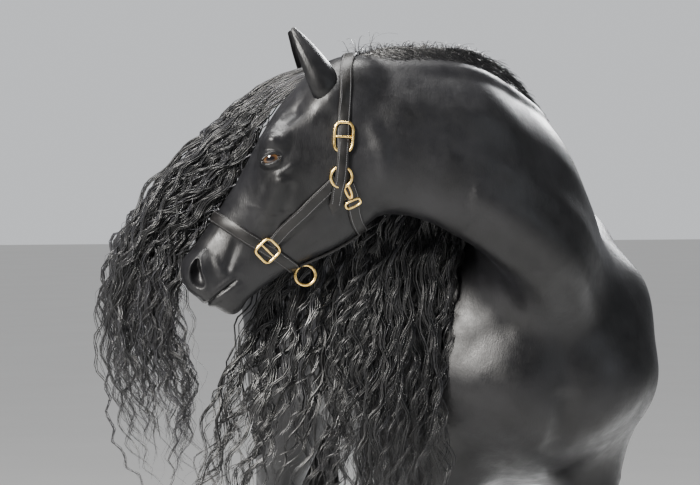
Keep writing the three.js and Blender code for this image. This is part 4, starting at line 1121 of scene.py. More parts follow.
# Hooves: horn with growth rings, a bulging heel and a flat sole.
def make_hooves():
    for name, table, sign in LEGS:
        x, y = table[1][-1][1] * sign, table[1][-1][2]
        half, front, back = table[1][-1][3:6]
        rings = []
        for z in np.concatenate([np.linspace(98, 4, 48), [1.2, 0.0]]):
            down = 1 - z / 98
            swell = 1.0 * math.sin(down * math.pi * 9) * 0.35 + 1.4 * math.exp(-(((z - 90) / 5) ** 2))
            grow_side = half + 15 * down + swell
            grow_front = front + 44 * down + swell
            grow_back = back + 6 * down + swell
            shrink = 3.0 if z < 0.5 else 0.0
            s, r = around(64, 2.3, 2.0)
            reach = np.where(r > 0, grow_back - shrink, grow_front - shrink)
            heel = np.where(r > 0.5, -5.0 * np.exp(-((s / 0.22) ** 2)) * (r - 0.5) * 2, 0)
            ring = np.stack([x + s * (grow_side - shrink), y - 2 + r * reach + heel, np.full(64, z)], -1)
            rings.append(ring)
        hoof = lofted("hoof_" + name, np.array(rings))
        smooth_shaded(hoof, 40)
        finished(hoof, "hoof", finish("hoof"), name + "_hoof")


# Hair: closed, tapering strands along guide locks, built straight from arrays.
class Strands:
    """Gathers strands, each a spine of points with a radius, a tone and a root place."""

    def __init__(self):
        self.points, self.faces, self.tones, self.uvs = [], [], [], []
        self.count = 0

    def add(self, spines, radii, tones, roots, facing=(0.31, 0.22, 0.93)):
        """spines: strands x points x 3 in millimetres; radii: strands x points; roots: strands x 2 of the unwrap."""
        spines = np.asarray(spines, float)
        n, m = spines.shape[:2]
        tangent = np.gradient(spines, axis=1)
        tangent = unit(tangent)
        flat = np.cross(tangent, facing)
        flat = unit(flat + 1e-6)
        side = np.cross(tangent, flat)
        angles = np.array([0.0, 2 * np.pi / 3, 4 * np.pi / 3])
        wide = 1.25 * np.cos(angles)[None, None, :, None] * flat[:, :, None, :]
        deep = 0.4 * np.sin(angles)[None, None, :, None] * side[:, :, None, :]
        ring = spines[:, :, None, :] + radii[:, :, None, None] * (wide + deep)
        points = ring.reshape(n, m * 3, 3)
        tip = spines[:, -1] + tangent[:, -1] * radii[:, -1:] * 4
        root = spines[:, 0] - tangent[:, 0] * radii[:, :1]
        points = np.concatenate([points, root[:, None], tip[:, None]], 1)
        per = m * 3 + 2
        base = self.count + np.arange(n) * per
        quads = []
        row = np.arange(m - 1)
        for k in range(3):
            a = row * 3 + k
            b = row * 3 + (k + 1) % 3
            quads.append(np.stack([a, b, b + 3, a, b + 3, a + 3], -1).reshape(-1, 3))
        caps = [[m * 3, (k + 1) % 3, k] for k in range(3)]
        caps += [[m * 3 + 1, (m - 1) * 3 + k, (m - 1) * 3 + (k + 1) % 3] for k in range(3)]
        pattern = np.concatenate(quads + [np.array(caps)])
        self.faces.append((base[:, None, None] + pattern[None]).reshape(-1, 3))
        self.points.append(points.reshape(-1, 3))
        self.tones.append(np.repeat(np.asarray(tones, float), per))
        level = np.concatenate([np.repeat(np.linspace(0.1, 0.9, m), 3), [0.0, 1.0]])
        spot = np.tile(np.array([0.15, 0.5, 0.85]), m)
        spot = np.concatenate([spot, [0.5, 0.5]])
        patch = np.stack([spot, level], -1) * 0.003
        self.uvs.append((np.asarray(roots)[:, None, :] + patch[None]).reshape(-1, 2))
        self.count += n * per

    def made(self, name):
        points, faces = np.concatenate(self.points), np.concatenate(self.faces)
        mesh = bpy.data.meshes.new(name)
        mesh.vertices.add(len(points))
        mesh.loops.add(len(faces) * 3)
        mesh.polygons.add(len(faces))
        mesh.vertices.foreach_set("co", metres(points).astype(np.float32).ravel())
        mesh.loops.foreach_set("vertex_index", faces.astype(np.int32).ravel())
        mesh.polygons.foreach_set("loop_start", np.arange(len(faces), dtype=np.int32) * 3)
        mesh.polygons.foreach_set("use_smooth", np.ones(len(faces), bool))
        mesh.update(calc_edges=True)
        unwrap = mesh.uv_layers.new(name="OFBake")
        uv = np.concatenate(self.uvs)[faces.ravel()]
        unwrap.data.foreach_set("uv", uv.astype(np.float32).ravel())
        tone = mesh.attributes.new("tone", "FLOAT", "POINT")
        tone.data.foreach_set("value", np.concatenate(self.tones).astype(np.float32))
        obj = bpy.data.objects.new(name, mesh)
        bpy.context.collection.objects.link(obj)
        return obj


def root_place(points):
    """The place of a root on an unwrap of the body: round it against along it."""
    points = np.asarray(points, float)
    u = (np.arctan2(points[:, 0], points[:, 2] - 1200) / (2 * np.pi) + 0.5) * 0.99
    v = np.clip((points[:, 1] + 1150) / 2200, 0, 1) * 0.99
    return np.stack([u, v], -1)


def stood_off(guide, tree, gap, out_dir, feeler=260.0):
    """Moves a guide's points out from the skin along one direction so that it lies over it, never through."""
    guide = np.array(guide, float)
    push = 0.0
    for k in range(len(guide)):
        spot = guide[k] + out_dir * push
        origin = spot + out_dir * feeler
        found, _ = hit(tree, origin, -out_dir, feeler / 1000 + 0.2)
        if found is not None:
            depth = (found - spot) @ out_dir + gap
            if depth > 0:
                spot = spot + out_dir * depth
                push += depth
        guide[k] = spot
    return guide


def resampled(values, lengths, at):
    return np.stack([np.interp(at, lengths, values[:, c]) for c in range(3)], -1)


def lock_strands(strands, guide, count, width, thick, radius, rng, flat_dir, wave=7.0, wave_length=90.0, samples=52,
                 strings=4, tone=(0.1, 0.7), stray=0.06, open_out=22.0, bare=0.12):
    """Strands of one lock, drawn together in a few strings that wave and cross as they hang."""
    line = spline(guide, 90)
    steps = np.linalg.norm(np.diff(line, axis=0), axis=1)
    lengths = np.concatenate([[0], np.cumsum(steps)])
    total = lengths[-1]
    tangent = unit(np.gradient(line, axis=0))
    flat = unit(np.cross(tangent, np.asarray(flat_dir, float)))
    normal = unit(np.cross(flat, tangent))
    middle = (np.arange(strings) + 0.5) / strings * 2 - 1 + rng.normal(0, 0.12, strings)
    deep = rng.uniform(-0.8, 0.8, strings)
    which = rng.integers(0, strings, count)
    reach_of = rng.uniform(0.8, 1.0, strings)
    reach = np.clip(reach_of[which] * rng.normal(1, 0.03, count), 0.4, 1.0)
    grid = np.linspace(0, 1, samples)
    s = grid[None, :] * reach[:, None]
    at = s * total
    centre, fl, no = (resampled(v, lengths, at) for v in (line, flat, normal))
    drawn = np.clip(s / 0.4, 0, 1)
    root_a = rng.uniform(-1, 1, count)
    root_b = rng.uniform(-1, 1, count)
    own_a = middle[which] + rng.normal(0, 0.5 / strings, count)
    own_b = deep[which] + rng.normal(0, 0.25, count)
    a = root_a[:, None] * 0.45 * (1 - drawn) + own_a[:, None] * (0.45 + 0.55 * drawn)
    b = root_b[:, None] * 0.35 * (1 - drawn) + own_b[:, None] * drawn
    narrow = 1 - 0.45 * np.clip((s - 0.55) / 0.45, 0, 1)
    across = a * width / 2 * narrow
    depth = b * thick / 2
    phase = rng.uniform(0, 6.28, strings)[which][:, None]
    slow = rng.uniform(260, 480, strings)[which][:, None]
    drift = open_out * np.clip((s - 0.2) / 0.5, 0, 1) * np.sin(2 * np.pi * at / slow + phase * 2.3)
    long = (wave_length * rng.uniform(0.85, 1.2, strings))[which][:, None]
    high = (wave * rng.uniform(0.6, 1.25, strings))[which][:, None]
    grown = np.clip((s - bare) / 0.22, 0, 1) * (1 + 0.5 * np.clip((s - 0.7) / 0.3, 0, 1))
    turn = 2 * np.pi * at / long + phase + rng.normal(0, 0.09, count)[:, None]
    across = across + drift + high * grown * np.sin(turn)
    depth = depth + high * 0.6 * grown * np.cos(turn) + 0.35 * drift * np.cos(phase)
    loose = np.where(rng.uniform(0, 1, count) < stray, 1.0, 0.0)[:, None]
    fly = rng.normal(0, 1, (count, 2, 1)) * loose[:, None] * (s**1.2)[:, None, :] * 26
    across, depth = across + fly[:, 0], depth + np.abs(fly[:, 1])
    spread = rng.normal(0, 1, (count, 2)) * (1.1 + 1.4 * loose)
    across = across + spread[:, :1] * (0.5 + s)
    depth = depth + spread[:, 1:] * (0.5 + s) * 0.7
    spine = centre + fl * across[..., None] + no * np.maximum(depth, -thick * 0.7)[..., None]
    thin = rng.uniform(0.65, 1.2, count)[:, None] * (1 - 0.45 * loose)
    radii = radius * thin * np.clip(1.0 - 0.82 * np.clip((s / reach[:, None] - 0.55) / 0.45, 0, 1) ** 1.2, 0.15, 1)
    tones = rng.uniform(*tone, strings)[which] * 0.6 + rng.uniform(*tone, count) * 0.4 + 0.25 * loose[:, 0]
    strands.add(spine, radii, np.clip(tones, 0, 1), root_place(spine[:, 0]), no)


MANE = {"reach": 1330.0, "fan": 350.0, "back": 300.0}


def mane_guide(tree, t, rng, layer, length, ahead=0.0):
    """A lock's guide: up out of the crest, over to the right and down the neck's side."""
    left = neck_frame(t)[2]
    tangent = np.array([left[1], -left[0], 0.0])
    off = 7 + 7 * layer
    over = ((98, -14), (110, off * 0.5 + 2), (136, off + 2), (166, off))
    points = [neck_surface(t, turn, gap) for turn, gap in over]
    length = length + 120 * max(0.0, (0.4 - t) / 0.4)
    fan = MANE["fan"] * max(0.0, (t - 0.5) / 0.5) ** 1.3 - MANE["back"] * max(0.0, (0.4 - t) / 0.4)
    fan = fan + rng.uniform(-30, 30) + ahead
    steps = 9
    remaining = length - 330
    phase, sway = rng.uniform(0, 6.28), rng.uniform(4, 11)
    for k in range(steps):
        f = (k + 1) / steps
        aside = tangent * (fan * f**0.8 + sway * math.sin(phase + 1.3 * k))
        here = points[3] + np.array([0, 0, -remaining * f]) + aside
        points.append(here - left * (5 * math.sin(phase + k) + 16 * f * layer))
    guide = np.array(points)
    out = -left
    stood = stood_off(guide[2:], tree, off, out)
    return np.vstack([guide[:2], stood]), out


MANE_BANDS = (
    ("mane_withers_hair", 0.05, 0.375, ("mane_withers",), 22),
    ("mane_middle_hair", 0.375, 0.68, ("mane_middle",), 24),
    ("mane_poll_hair", 0.68, 0.985, ("mane_poll",), 24),
)


def make_mane():
    looks = bpy.context.scene.horse_looks
    tree = tree_of(bpy.data.objects["skin"])
    rng = np.random.default_rng(11)
    for name, low, high, nodes, locks in MANE_BANDS:
        strands = Strands()
        for k in range(locks):
            t = low + (high - low) * (k + 0.5 + rng.uniform(-0.3, 0.3)) / locks
            layer = int(rng.integers(0, 3))
            length = MANE["reach"] * rng.uniform(0.84, 1.04)
            ahead = rng.uniform(0, 90) if t > 0.86 else 0.0
            guide, out = mane_guide(tree, t, rng, layer, length, ahead)
            lock_strands(strands, guide, looks.lock_strands, rng.uniform(40, 66), rng.uniform(12, 22), looks.strand,
                         rng, out, wave=rng.uniform(6, 12), wave_length=rng.uniform(84, 120), tone=(0.0, 0.9))
        mane = strands.made(name)
        finished(mane, "hair", finish("hair"), *nodes)


def make_crest_hair():
    """Short hair along the crest: a band laid over the neck's left side, with tips that stand up and fly."""
    rng = np.random.default_rng(5)
    strands = Strands()
    for laid, count in ((True, 1600), (False, 600)):
        spines, radii, tones = [], [], []
        for _ in range(count):
            t = rng.uniform(0.03, 0.99)
            left = neck_frame(t)[2]
            tangent = np.array([left[1], -left[0], 0.0])
            turn = (rng.uniform(64, 104) if laid else rng.normal(92, 9)) - 42 * max(0.0, 0.75 - t) / 0.75
            root = neck_surface(t, turn, -4)
            up = unit(neck_surface(t, turn, 10) - root)
            s = np.linspace(0, 1, 7)[:, None]
            if laid:
                length = rng.uniform(26, 52)
                down = unit(neck_surface(t, turn - 14, 0) - neck_surface(t, turn, 0))
                sweep = down * 0.55 - tangent * rng.normal(0.65, 0.25)
                spine = root + up * (6.5 * np.sin(s * 2.6)) + sweep * length * s
            else:
                length = rng.uniform(14, 40) * (2.4 if t > 0.9 and rng.uniform() < 0.3 else 1)
                lean = left * rng.normal(-0.25, 0.5) + tangent * rng.normal(-0.1, 0.45)
                sag = np.array([0, 0, 1.0]) * length * 0.4 * s**3
                spine = root + up * length * s * 0.9 + lean * length * 0.75 * s**2 - sag
            spines.append(spine)
            radii.append((1.25 if laid else 0.9) * (1 - 0.8 * s[:, 0]) + 0.2)
            tones.append(rng.uniform(0.1, 0.8) if laid else rng.uniform(0.4, 1.0))
        strands.add(np.array(spines), np.array(radii), tones, root_place(np.array(spines)[:, 0]))
    hair = strands.made("crest_hair")
    finished(hair, "hair", finish("hair"))


# Edges of the forelock in the head's frame: along the face, out of the brow, to its left.
FORELOCK_NEAR = [
    (66, 20, 6), (108, 46, 0), (183, 66, -12), (294, 52, -26), (405, 52, -44), (487, 54, -58),
    (563, 52, -70), (641, 16, -78), (725, -59, -84), (845, -160, -90), (955, -240, -94),
]
FORELOCK_FAR = [
    (60, 24, -16), (130, 84, -24), (225, 122, -34), (330, 146, -44), (444, 158, -52), (560, 172, -60),
    (650, 160, -70), (730, 128, -80), (823, 56, -86), (915, -48, -92), (1010, -160, -96),
]


def make_forelock():
    looks = bpy.context.scene.horse_looks
    rng = np.random.default_rng(23)
    near = np.array([in_head(*p) for p in FORELOCK_NEAR])
    far = np.array([in_head(*p) for p in FORELOCK_FAR])
    out = unit(BROW * 0.55 + HEAD_LEFT * 0.85)
    for part, (name, locks) in enumerate((("forelock_hair", 22), ("forelock_curls", 22))):
        strands = Strands()
        for k in range(locks):
            f = (k + 0.5) / locks + rng.uniform(-0.04, 0.04)
            f = f if part == 0 else f**1.15
            guide = near + (far - near) * f
            steps = np.arange(len(guide))
            grown = np.clip((steps - 1) / 3, 0, 1)
            depth = rng.uniform(-46, 22) if part == 0 else rng.uniform(-10, 34)
            phase = rng.uniform(0, 6.28)
            guide = guide + HEAD_LEFT * (depth * grown)[:, None]
            guide = guide + HEADING * (rng.uniform(6, 16) * grown * np.sin(phase + steps * 1.5))[:, None]
            guide = guide + np.array([0, 0, 1.0]) * (rng.uniform(-50, 60) * (steps / 10) ** 2)[:, None]
            guide = spline(guide, 24)[: int(rng.uniform(19, 25))]
            lock_strands(strands, guide, looks.lock_strands, rng.uniform(30, 56), rng.uniform(12, 26),
                         looks.strand * 0.92, rng, out, wave=rng.uniform(6, 11), wave_length=rng.uniform(66, 98),
                         tone=(0.05, 1.0), stray=0.12, open_out=22.0, bare=0.06)
        forelock = strands.made(name)
        finished(forelock, "hair", finish("hair"), *(("forelock",) if part == 0 else ()))


TAIL_PARTS = (
    ("tail_upper_hair", 30, (1230, 1460), ("tail",)),
    ("tail_lower_hair", 26, (1080, 1290), ()),
)
TAIL_LINE_Y = 952.0  # where the hanging hair's middle lies, behind the hindquarters
DOCK_SETBACK = 22.0
TAIL_STRANDS = 32


def make_tail():
    looks = bpy.context.scene.horse_looks
    rng = np.random.default_rng(37)
    dock = np.array(DOCK[1], float)[::-1]
    for name, locks, (low, high), nodes in TAIL_PARTS:
        strands = Strands()
        for _ in range(locks):
            rng.uniform(size=2)  # passed over, so that every lock keeps its place
            turn = rng.uniform(0, 2 * math.pi)
            z0 = rng.uniform(low, high)
            y0, half = (float(np.interp(z0, dock[:, 0], dock[:, c])) for c in (1, 2))
            side, back = math.cos(turn), math.sin(turn)
            root = np.array([side * (half - 8), y0 - DOCK_SETBACK + back * (half - 8) * 0.8, z0])
            tip_z = rng.uniform(150, 330)
            bulge = rng.uniform(48, 78)
            points = [root, root + np.array([side * 14, 12 + back * 10, -24])]
            for f in (0.25, 0.5, 0.75, 1.0):
                wide = bulge * math.sin(math.pi * min(1, 0.25 + 0.55 * f))
                hang_y = TAIL_LINE_Y + back * wide * 0.7 + 6 * math.sin(f * 7 + turn)
                points.append(np.array([side * wide, hang_y, z0 + (tip_z - z0) * f]))
            lock_strands(
                strands, points, TAIL_STRANDS, rng.uniform(44, 70), rng.uniform(16, 28), looks.strand * 1.1, rng,
                unit([side, back + 0.01, 0]), wave=rng.uniform(4, 9), wave_length=rng.uniform(110, 160),
                samples=34, tone=(0.0, 0.6), stray=0.05,
            )
        finished(strands.made(name), "hair", finish("hair"), *nodes)


def make_feathers():
    for index, (name, table, sign) in enumerate(LEGS):
        rng = np.random.default_rng(50 + index)
        strands = Strands()
        last = table[1][-1]
        for k in range(15):
            turn = math.radians(-40 + 260 * (k + 0.5) / 15 + rng.uniform(-6, 6))
            z0 = rng.uniform(150, 330) if math.sin(turn) > 0 else rng.uniform(120, 170)
            x, y, half, front, back = (float(between(table, z0, f)) for f in ("x", "y", "side", "front", "back"))
            c, s = math.cos(turn), math.sin(turn)
            root = np.array([sign * x + c * (half - 5), y + s * ((back if s > 0 else front) - 5), z0])
            tip_z = rng.uniform(14, 52)
            fold = rng.uniform(30, 50)
            hoof_reach = last[5] if s > 0 else last[4]
            end = np.array([sign * last[1] + c * (last[3] + fold), last[2] + s * (hoof_reach + fold), tip_z])
            mid = root * 0.45 + end * 0.55
            mid = mid + np.array([c * 6, s * 6, 24])
            guide = [root, root * 0.75 + mid * 0.25 + np.array([c * 4, s * 4, 0]), mid, end]
            lock_strands(strands, guide, 40, rng.uniform(34, 52), rng.uniform(10, 16), 1.3, rng, np.array([c, s, 0.2]),
                         wave=rng.uniform(1.5, 3.5), wave_length=rng.uniform(60, 90), samples=14, tone=(0.0, 0.6),
                         stray=0.05, open_out=6.0)
        feather = strands.made(name + "_feather")
        co = places(feather)
        co[:, 2] = np.maximum(co[:, 2], 0.002)
        place(feather, co)
        finished(feather, "hair", finish("hair"))


# The halter: flat leather straps that follow the head, with brass at every joint.
STRAP = {"width": 27.0, "thick": 5.0}
# Places of the fittings on the head, along the face and out of the brow.
HALTER = {"buckle": (142.0, -105.0), "ring": (217.0, -146.0), "square": (436.0, -98.0), "chin": (438.0, -201.0)}


def around_head(tree, p, q, sign, lift=1.2):
    """The point where a line from the side meets the head at p, q, a little off the skin."""
    origin = in_head(p, q, sign * 300)
    found, normal = hit(tree, origin, -HEAD_LEFT * sign)
    if found is None:
        return in_head(p, q, sign * 80), HEAD_LEFT * sign
    return found + normal * lift, normal


STRAP_EDGE = 1.4
STRAP_CORNER = 0.45


def strap_mesh(name, line, normals, width, thick, narrow=None):
    """A flat strap with rounded edges along a line of points, its flat side towards the normals."""
    line = np.asarray(line, float)
    normals = unit(np.asarray(normals, float))
    tangent = unit(np.gradient(line, axis=0))
    normals = unit(normals - tangent * (normals * tangent).sum(1)[:, None])
    across = np.cross(tangent, normals)
    w, h = width / 2, thick
    profile = np.array([
        (-w, 0.3), (-w, h - STRAP_EDGE), (-w + STRAP_CORNER, h - STRAP_CORNER), (-w + STRAP_EDGE, h), (0, h + 0.5),
        (w - STRAP_EDGE, h), (w - STRAP_CORNER, h - STRAP_CORNER), (w, h - STRAP_EDGE), (w, 0.3),
        (w - STRAP_EDGE, 0), (-w + STRAP_EDGE, 0),
    ])
    scale = np.ones(len(line)) if narrow is None else narrow
    flat = profile[None, :, 0:1] * scale[:, None, None] * across[:, None]
    return lofted(name, line[:, None] + flat + profile[None, :, 1:2] * normals[:, None])


def stitching(line, normals, width, thick):
    """Two rows of small raised stitches along a strap's edges."""
    line = np.asarray(line, float)
    normals = unit(np.asarray(normals, float))
    steps = np.linalg.norm(np.diff(line, axis=0), axis=1)
    lengths = np.concatenate([[0], np.cumsum(steps)])
    tangent = unit(np.gradient(line, axis=0))
    normals = unit(normals - tangent * (normals * tangent).sum(1)[:, None])
    across = np.cross(tangent, normals)
    at = np.arange(4, lengths[-1] - 4, 4.6)
    spines = []
    for offset in (-width / 2 + 3.4, width / 2 - 3.4):
        rows = line + across * offset + normals * (thick + 0.35)
        for a in at:
            s = np.linspace(a, a + 3.1, 3)
            spine = np.stack([np.interp(s, lengths, rows[:, c]) for c in range(3)], -1)
            n = np.array([np.interp(a, lengths, normals[:, c]) for c in range(3)])
            spine[1] += n * 0.5
            spines.append(spine)
    return np.array(spines)


def thread_piece(name, spine_sets):
    spines = np.concatenate(spine_sets)
    strands = Strands()
    strands.add(spines, np.full(spines.shape[:2], 0.7), np.full(len(spines), 0.5), root_place(spines[:, 0]))
    return strands.made(name)


def head_path(tree, places_pq, count, lift=1.2):
    """A strap's line over the skin through points of the head's frame given as (along, rise, left)."""
    rough = spline(np.array(places_pq, float), count)
    line, normals = [], []
    for p, q, l in rough:
        spot = in_head(p, q, l)
        middle = in_head(p, -110, 0)
        direction = unit(spot - middle)
        found, normal = hit(tree, middle + direction * 420, -direction, 0.5)
        if found is None:
            found, normal = spot, direction
        line.append(found + normal * lift)
        normals.append(normal)
    line, normals = np.array(line), np.array(normals)
    for _ in range(4):
        line[1:-1] = line[1:-1] * 0.5 + (line[:-2] + line[2:]) * 0.25
        normals[1:-1] = normals[1:-1] * 0.5 + (normals[:-2] + normals[2:]) * 0.25
    return line + unit(normals) * 0.6, unit(normals)


def brass_loop(name, centre, normal, up, half_wide, half_tall, tube, corner, bar=False):
    """A bent brass frame or ring, round in section; a bar crosses a fitting's middle."""
    normal, up = unit(normal), unit(up)
    up = unit(up - normal * (up @ normal))
    right = np.cross(up, normal)
    k = np.linspace(0, 2 * np.pi, 73)[:-1]
    power = 2 / corner
    x = np.sign(np.cos(k)) * np.abs(np.cos(k)) ** power * half_wide
    y = np.sign(np.sin(k)) * np.abs(np.sin(k)) ** power * half_tall
    spine = centre + x[:, None] * right + y[:, None] * up
    deselect()
    bpy.ops.mesh.primitive_torus_add(major_segments=72, minor_segments=14, major_radius=1, minor_radius=0.1)
    obj = bpy.context.object
    obj.name = name
    co = places(obj)
    turn = np.rint(np.arctan2(co[:, 1], co[:, 0]) / (2 * np.pi) * 72).astype(int) % 72
    radial = (np.hypot(co[:, 0], co[:, 1]) - 1) / 0.1
    height = co[:, 2] / 0.1
    tangent = unit(np.roll(spine, -1, 0) - np.roll(spine, 1, 0))
    side = np.cross(normal, tangent)
    side = np.where(((spine - centre) * side).sum(1)[:, None] < 0, -side, side)
    new = spine[turn] + side[turn] * radial[:, None] * tube + normal * height[:, None] * tube
    place(obj, metres(new))
    parts = [obj]
    if bar:
        rows = []
        for f in np.linspace(-1, 1, 9):
            k2 = np.arange(12) / 12 * 2 * np.pi
            round_bar = (np.cos(k2)[:, None] * up + np.sin(k2)[:, None] * normal) * tube * 0.8
            rows.append(centre + right * f * (half_wide - tube * 0.6) + round_bar)
        parts.append(lofted(name + "_bar", np.array(rows)))
    made = joined(name, parts)
    recalculate(made)
    smooth_shaded(made)
    return made


def make_billet(tree, path, width, thick, threads):
    """The crown strap's loose end: it lies over the cheek from the buckle to a pointed tip, with punched holes."""
    line, normals = head_path(tree, path, 60, lift=thick + 2.0)
    narrow = np.clip((1 - np.linspace(0, 1, 60)) / 0.12, 0.12, 1)
    piece = strap_mesh("halter_billet", line, normals, width - 1, thick - 1.0, narrow=narrow)
    smooth_shaded(piece, 50)
    finished(piece, "leather", finish("leather"))
    threads.append(stitching(line[:52], normals[:52], width - 4, thick - 1.4))
    holes = []
    for k in range(4, 46, 8):
        hole = lofted("hole", punched(line[k], normals[k], line[k + 1] - line[k], thick - 1.4))
        holes.append(hole)
    made = joined("halter_holes", holes)
    smooth_shaded(made, 40)
    # The holes take the painted hole shade: a dark, matte fill standing in for the shaded depth of each hole.
    finished(made, "leather", finish("hole"))


def punched(centre, normal, along, height):
    """Rings of a small dished eyelet pressed into the leather."""
    normal, along = unit(normal), unit(along)
    across = np.cross(normal, along)
    k = np.arange(16) / 16 * 2 * np.pi
    circle = np.cos(k)[:, None] * along + np.sin(k)[:, None] * across
    top = height + 0.75
    rim = ((2.7, height - 0.6), (2.6, top), (2.2, top + 0.1), (1.7, top - 0.1), (0.6, top - 0.5))
    return np.array([centre + normal * h + circle * r for r, h in rim])


def make_halter():
    tree = tree_of(bpy.data.objects["skin"])
    width, thick = STRAP["width"], STRAP["thick"]
    threads = []

    def strap(name, path, stood_for, count, w=width):
        line, normals = head_path(tree, path, count)
        piece = strap_mesh(name, line, normals, w, thick)
        smooth_shaded(piece, 50)
        finished(piece, "leather", finish("leather"), stood_for)
        threads.append(stitching(line, normals, w, thick))

    ring, square = HALTER["ring"], HALTER["square"]
    half_crown = [(ring[0] - 6, ring[1] + 4, 90), (142, -105, 92), (72, -66, 86), (30, -42, 74), (-8, -22, 44)]
    crown = [(p, q, -l) for p, q, l in half_crown] + [(-22, -14, 0)] + half_crown[::-1]
    strap("halter_crown_strap", crown, "halter_crown", 120)
    for name, sign in SIDES:
        cheek = [(ring[0] + 10, ring[1] + 4, 92), (290, -128, 90), (360, -110, 76), (square[0] - 14, square[1] + 3, 60)]
        cheek = [(p, q, sign * l) for p, q, l in cheek]
        strap("halter_cheek_strap_" + name, cheek, "halter_cheek_" + name, 44)
    half_nose = [(436, 30, 26), (436, 12, 54), (436, -60, 58), (436, -126, 50), (437, -172, 26)]
    nose = [(436, 36, 0)] + half_nose + [(438, -180, 0)] + [(p, q, -l) for p, q, l in half_nose[::-1]] + [(436, 36, -2)]
    strap("halter_nose_strap", nose, "halter_noseband", 140)
    half_throat = [(ring[0] + 6, ring[1] - 22, 90), (242, -206, 91), (264, -240, 80), (284, -266, 46)]
    throat = [(p, q, -l) for p, q, l in half_throat] + [(290, -276, 0)] + half_throat[::-1]
    strap("halter_throat_strap", throat, "halter_throat", 90)
    jaw = [(296, -262, 0), (340, -242, 0), (390, -210, 0), (430, -190, 0)]
    strap("halter_jaw_strap_under", jaw, "halter_jaw_strap", 34, w=24)
    tail_line = [(150, -110, 95), (190, -131, 97), (230, -152, 97), (262, -170, 95), (292, -187, 92)]
    make_billet(tree, tail_line, width, thick, threads)
    seams = thread_piece("halter_stitching", threads)
    finished(seams, "leather", finish("thread"))
    brass = []
    for name, sign in SIDES:
        spot, normal = around_head(tree, *square, sign, 5)
        run = in_head(ring[0], ring[1], 0) - in_head(square[0], square[1], 0)
        nodes = ("halter_square_" + name,)
        brass.append(("halter_square_frame_" + name, spot + normal * 2, normal, run, 22, 22, 3.0, 4.5, True, nodes))
        spot, normal = around_head(tree, *ring, sign, 6)
        nodes = ("halter_ring_" + name,)
        brass.append(("halter_side_ring_" + name, spot + normal, normal, BROW, 23, 23, 3.3, 2.0, False, nodes))
    spot, normal = around_head(tree, *HALTER["buckle"], 1, 6)
    direction = unit(in_head(72, -66, 86) - in_head(190, -131, 92))
    nodes = ("halter_buckle",)
    brass.append(("halter_buckle_frame", spot + normal * 3, normal, direction, 20, 31, 3.2, 3.6, True, nodes))
    spot, nodes = in_head(*HALTER["chin"], 0), ("halter_chin_ring",)
    brass.append(("halter_chin_ring_loop", spot, HEAD_LEFT, BROW, 22, 22, 3.2, 2.0, False, nodes))
    spot, normal = around_head(tree, 250, -198, 1, 7)
    run = in_head(ring[0], ring[1], 0) - in_head(262, -216, 0)
    brass.append(("halter_snap_loop", spot, normal, run, 17, 8, 2.4, 3.6, False, ()))
    spot, normal = around_head(tree, 234, -174, 1, 8)
    brass.append(("halter_snap_hook", spot, normal, run, 5.5, 17, 2.8, 2.2, False, ()))
    for name, centre, normal, up, wide, tall, tube, corner, bar, nodes in brass:
        made = brass_loop(name, centre, normal, up, wide, tall, tube, corner, bar)
        finished(made, "brass", finish("brass"), *nodes)


# The stage: a pale studio floor, soft lights and the photograph's camera.
# Each light: name, place and aim in millimetres, size in metres, watts, colour.
STAGE_AIM = (-300, -500, 1400)
LIGHTS = (
    ("key_light", (-3900, -3300, 3700), STAGE_AIM, 1.3, 900, (1.0, 0.97, 0.92)),
    ("fill_light", (3400, -4600, 2400), STAGE_AIM, 3.0, 45, (0.88, 0.94, 1.0)),
    ("rim_light", (2600, 2600, 3700), (0, -300, 1500), 1.8, 520, (0.97, 0.98, 1.0)),
    ("top_light", (-700, -700, 4400), STAGE_AIM, 1.6, 260, (1.0, 0.99, 0.97)),
)
FLOOR_HALF = 60.0  # metres, as the camera's distance and height are
FLOOR_GLOW = 0.30
WORLD_ON_HORSE = 0.22  # the world's strength for light on the horse
WORLD_SEEN_BY_CAMERA = 0.55  # added where the camera looks straight at the world
CAMERA_TURN = math.radians(-20)
CAMERA_AIM = (-361.8, -368.3, 1450)
CAMERA_AWAY = 6.6
CAMERA_HEIGHT = 1.6
SENSOR_WIDTH = 36.0
FOCAL_PIXELS = 2772  # focal length in pixels of the photograph's 700 px width
PHOTO_WIDTH = 700


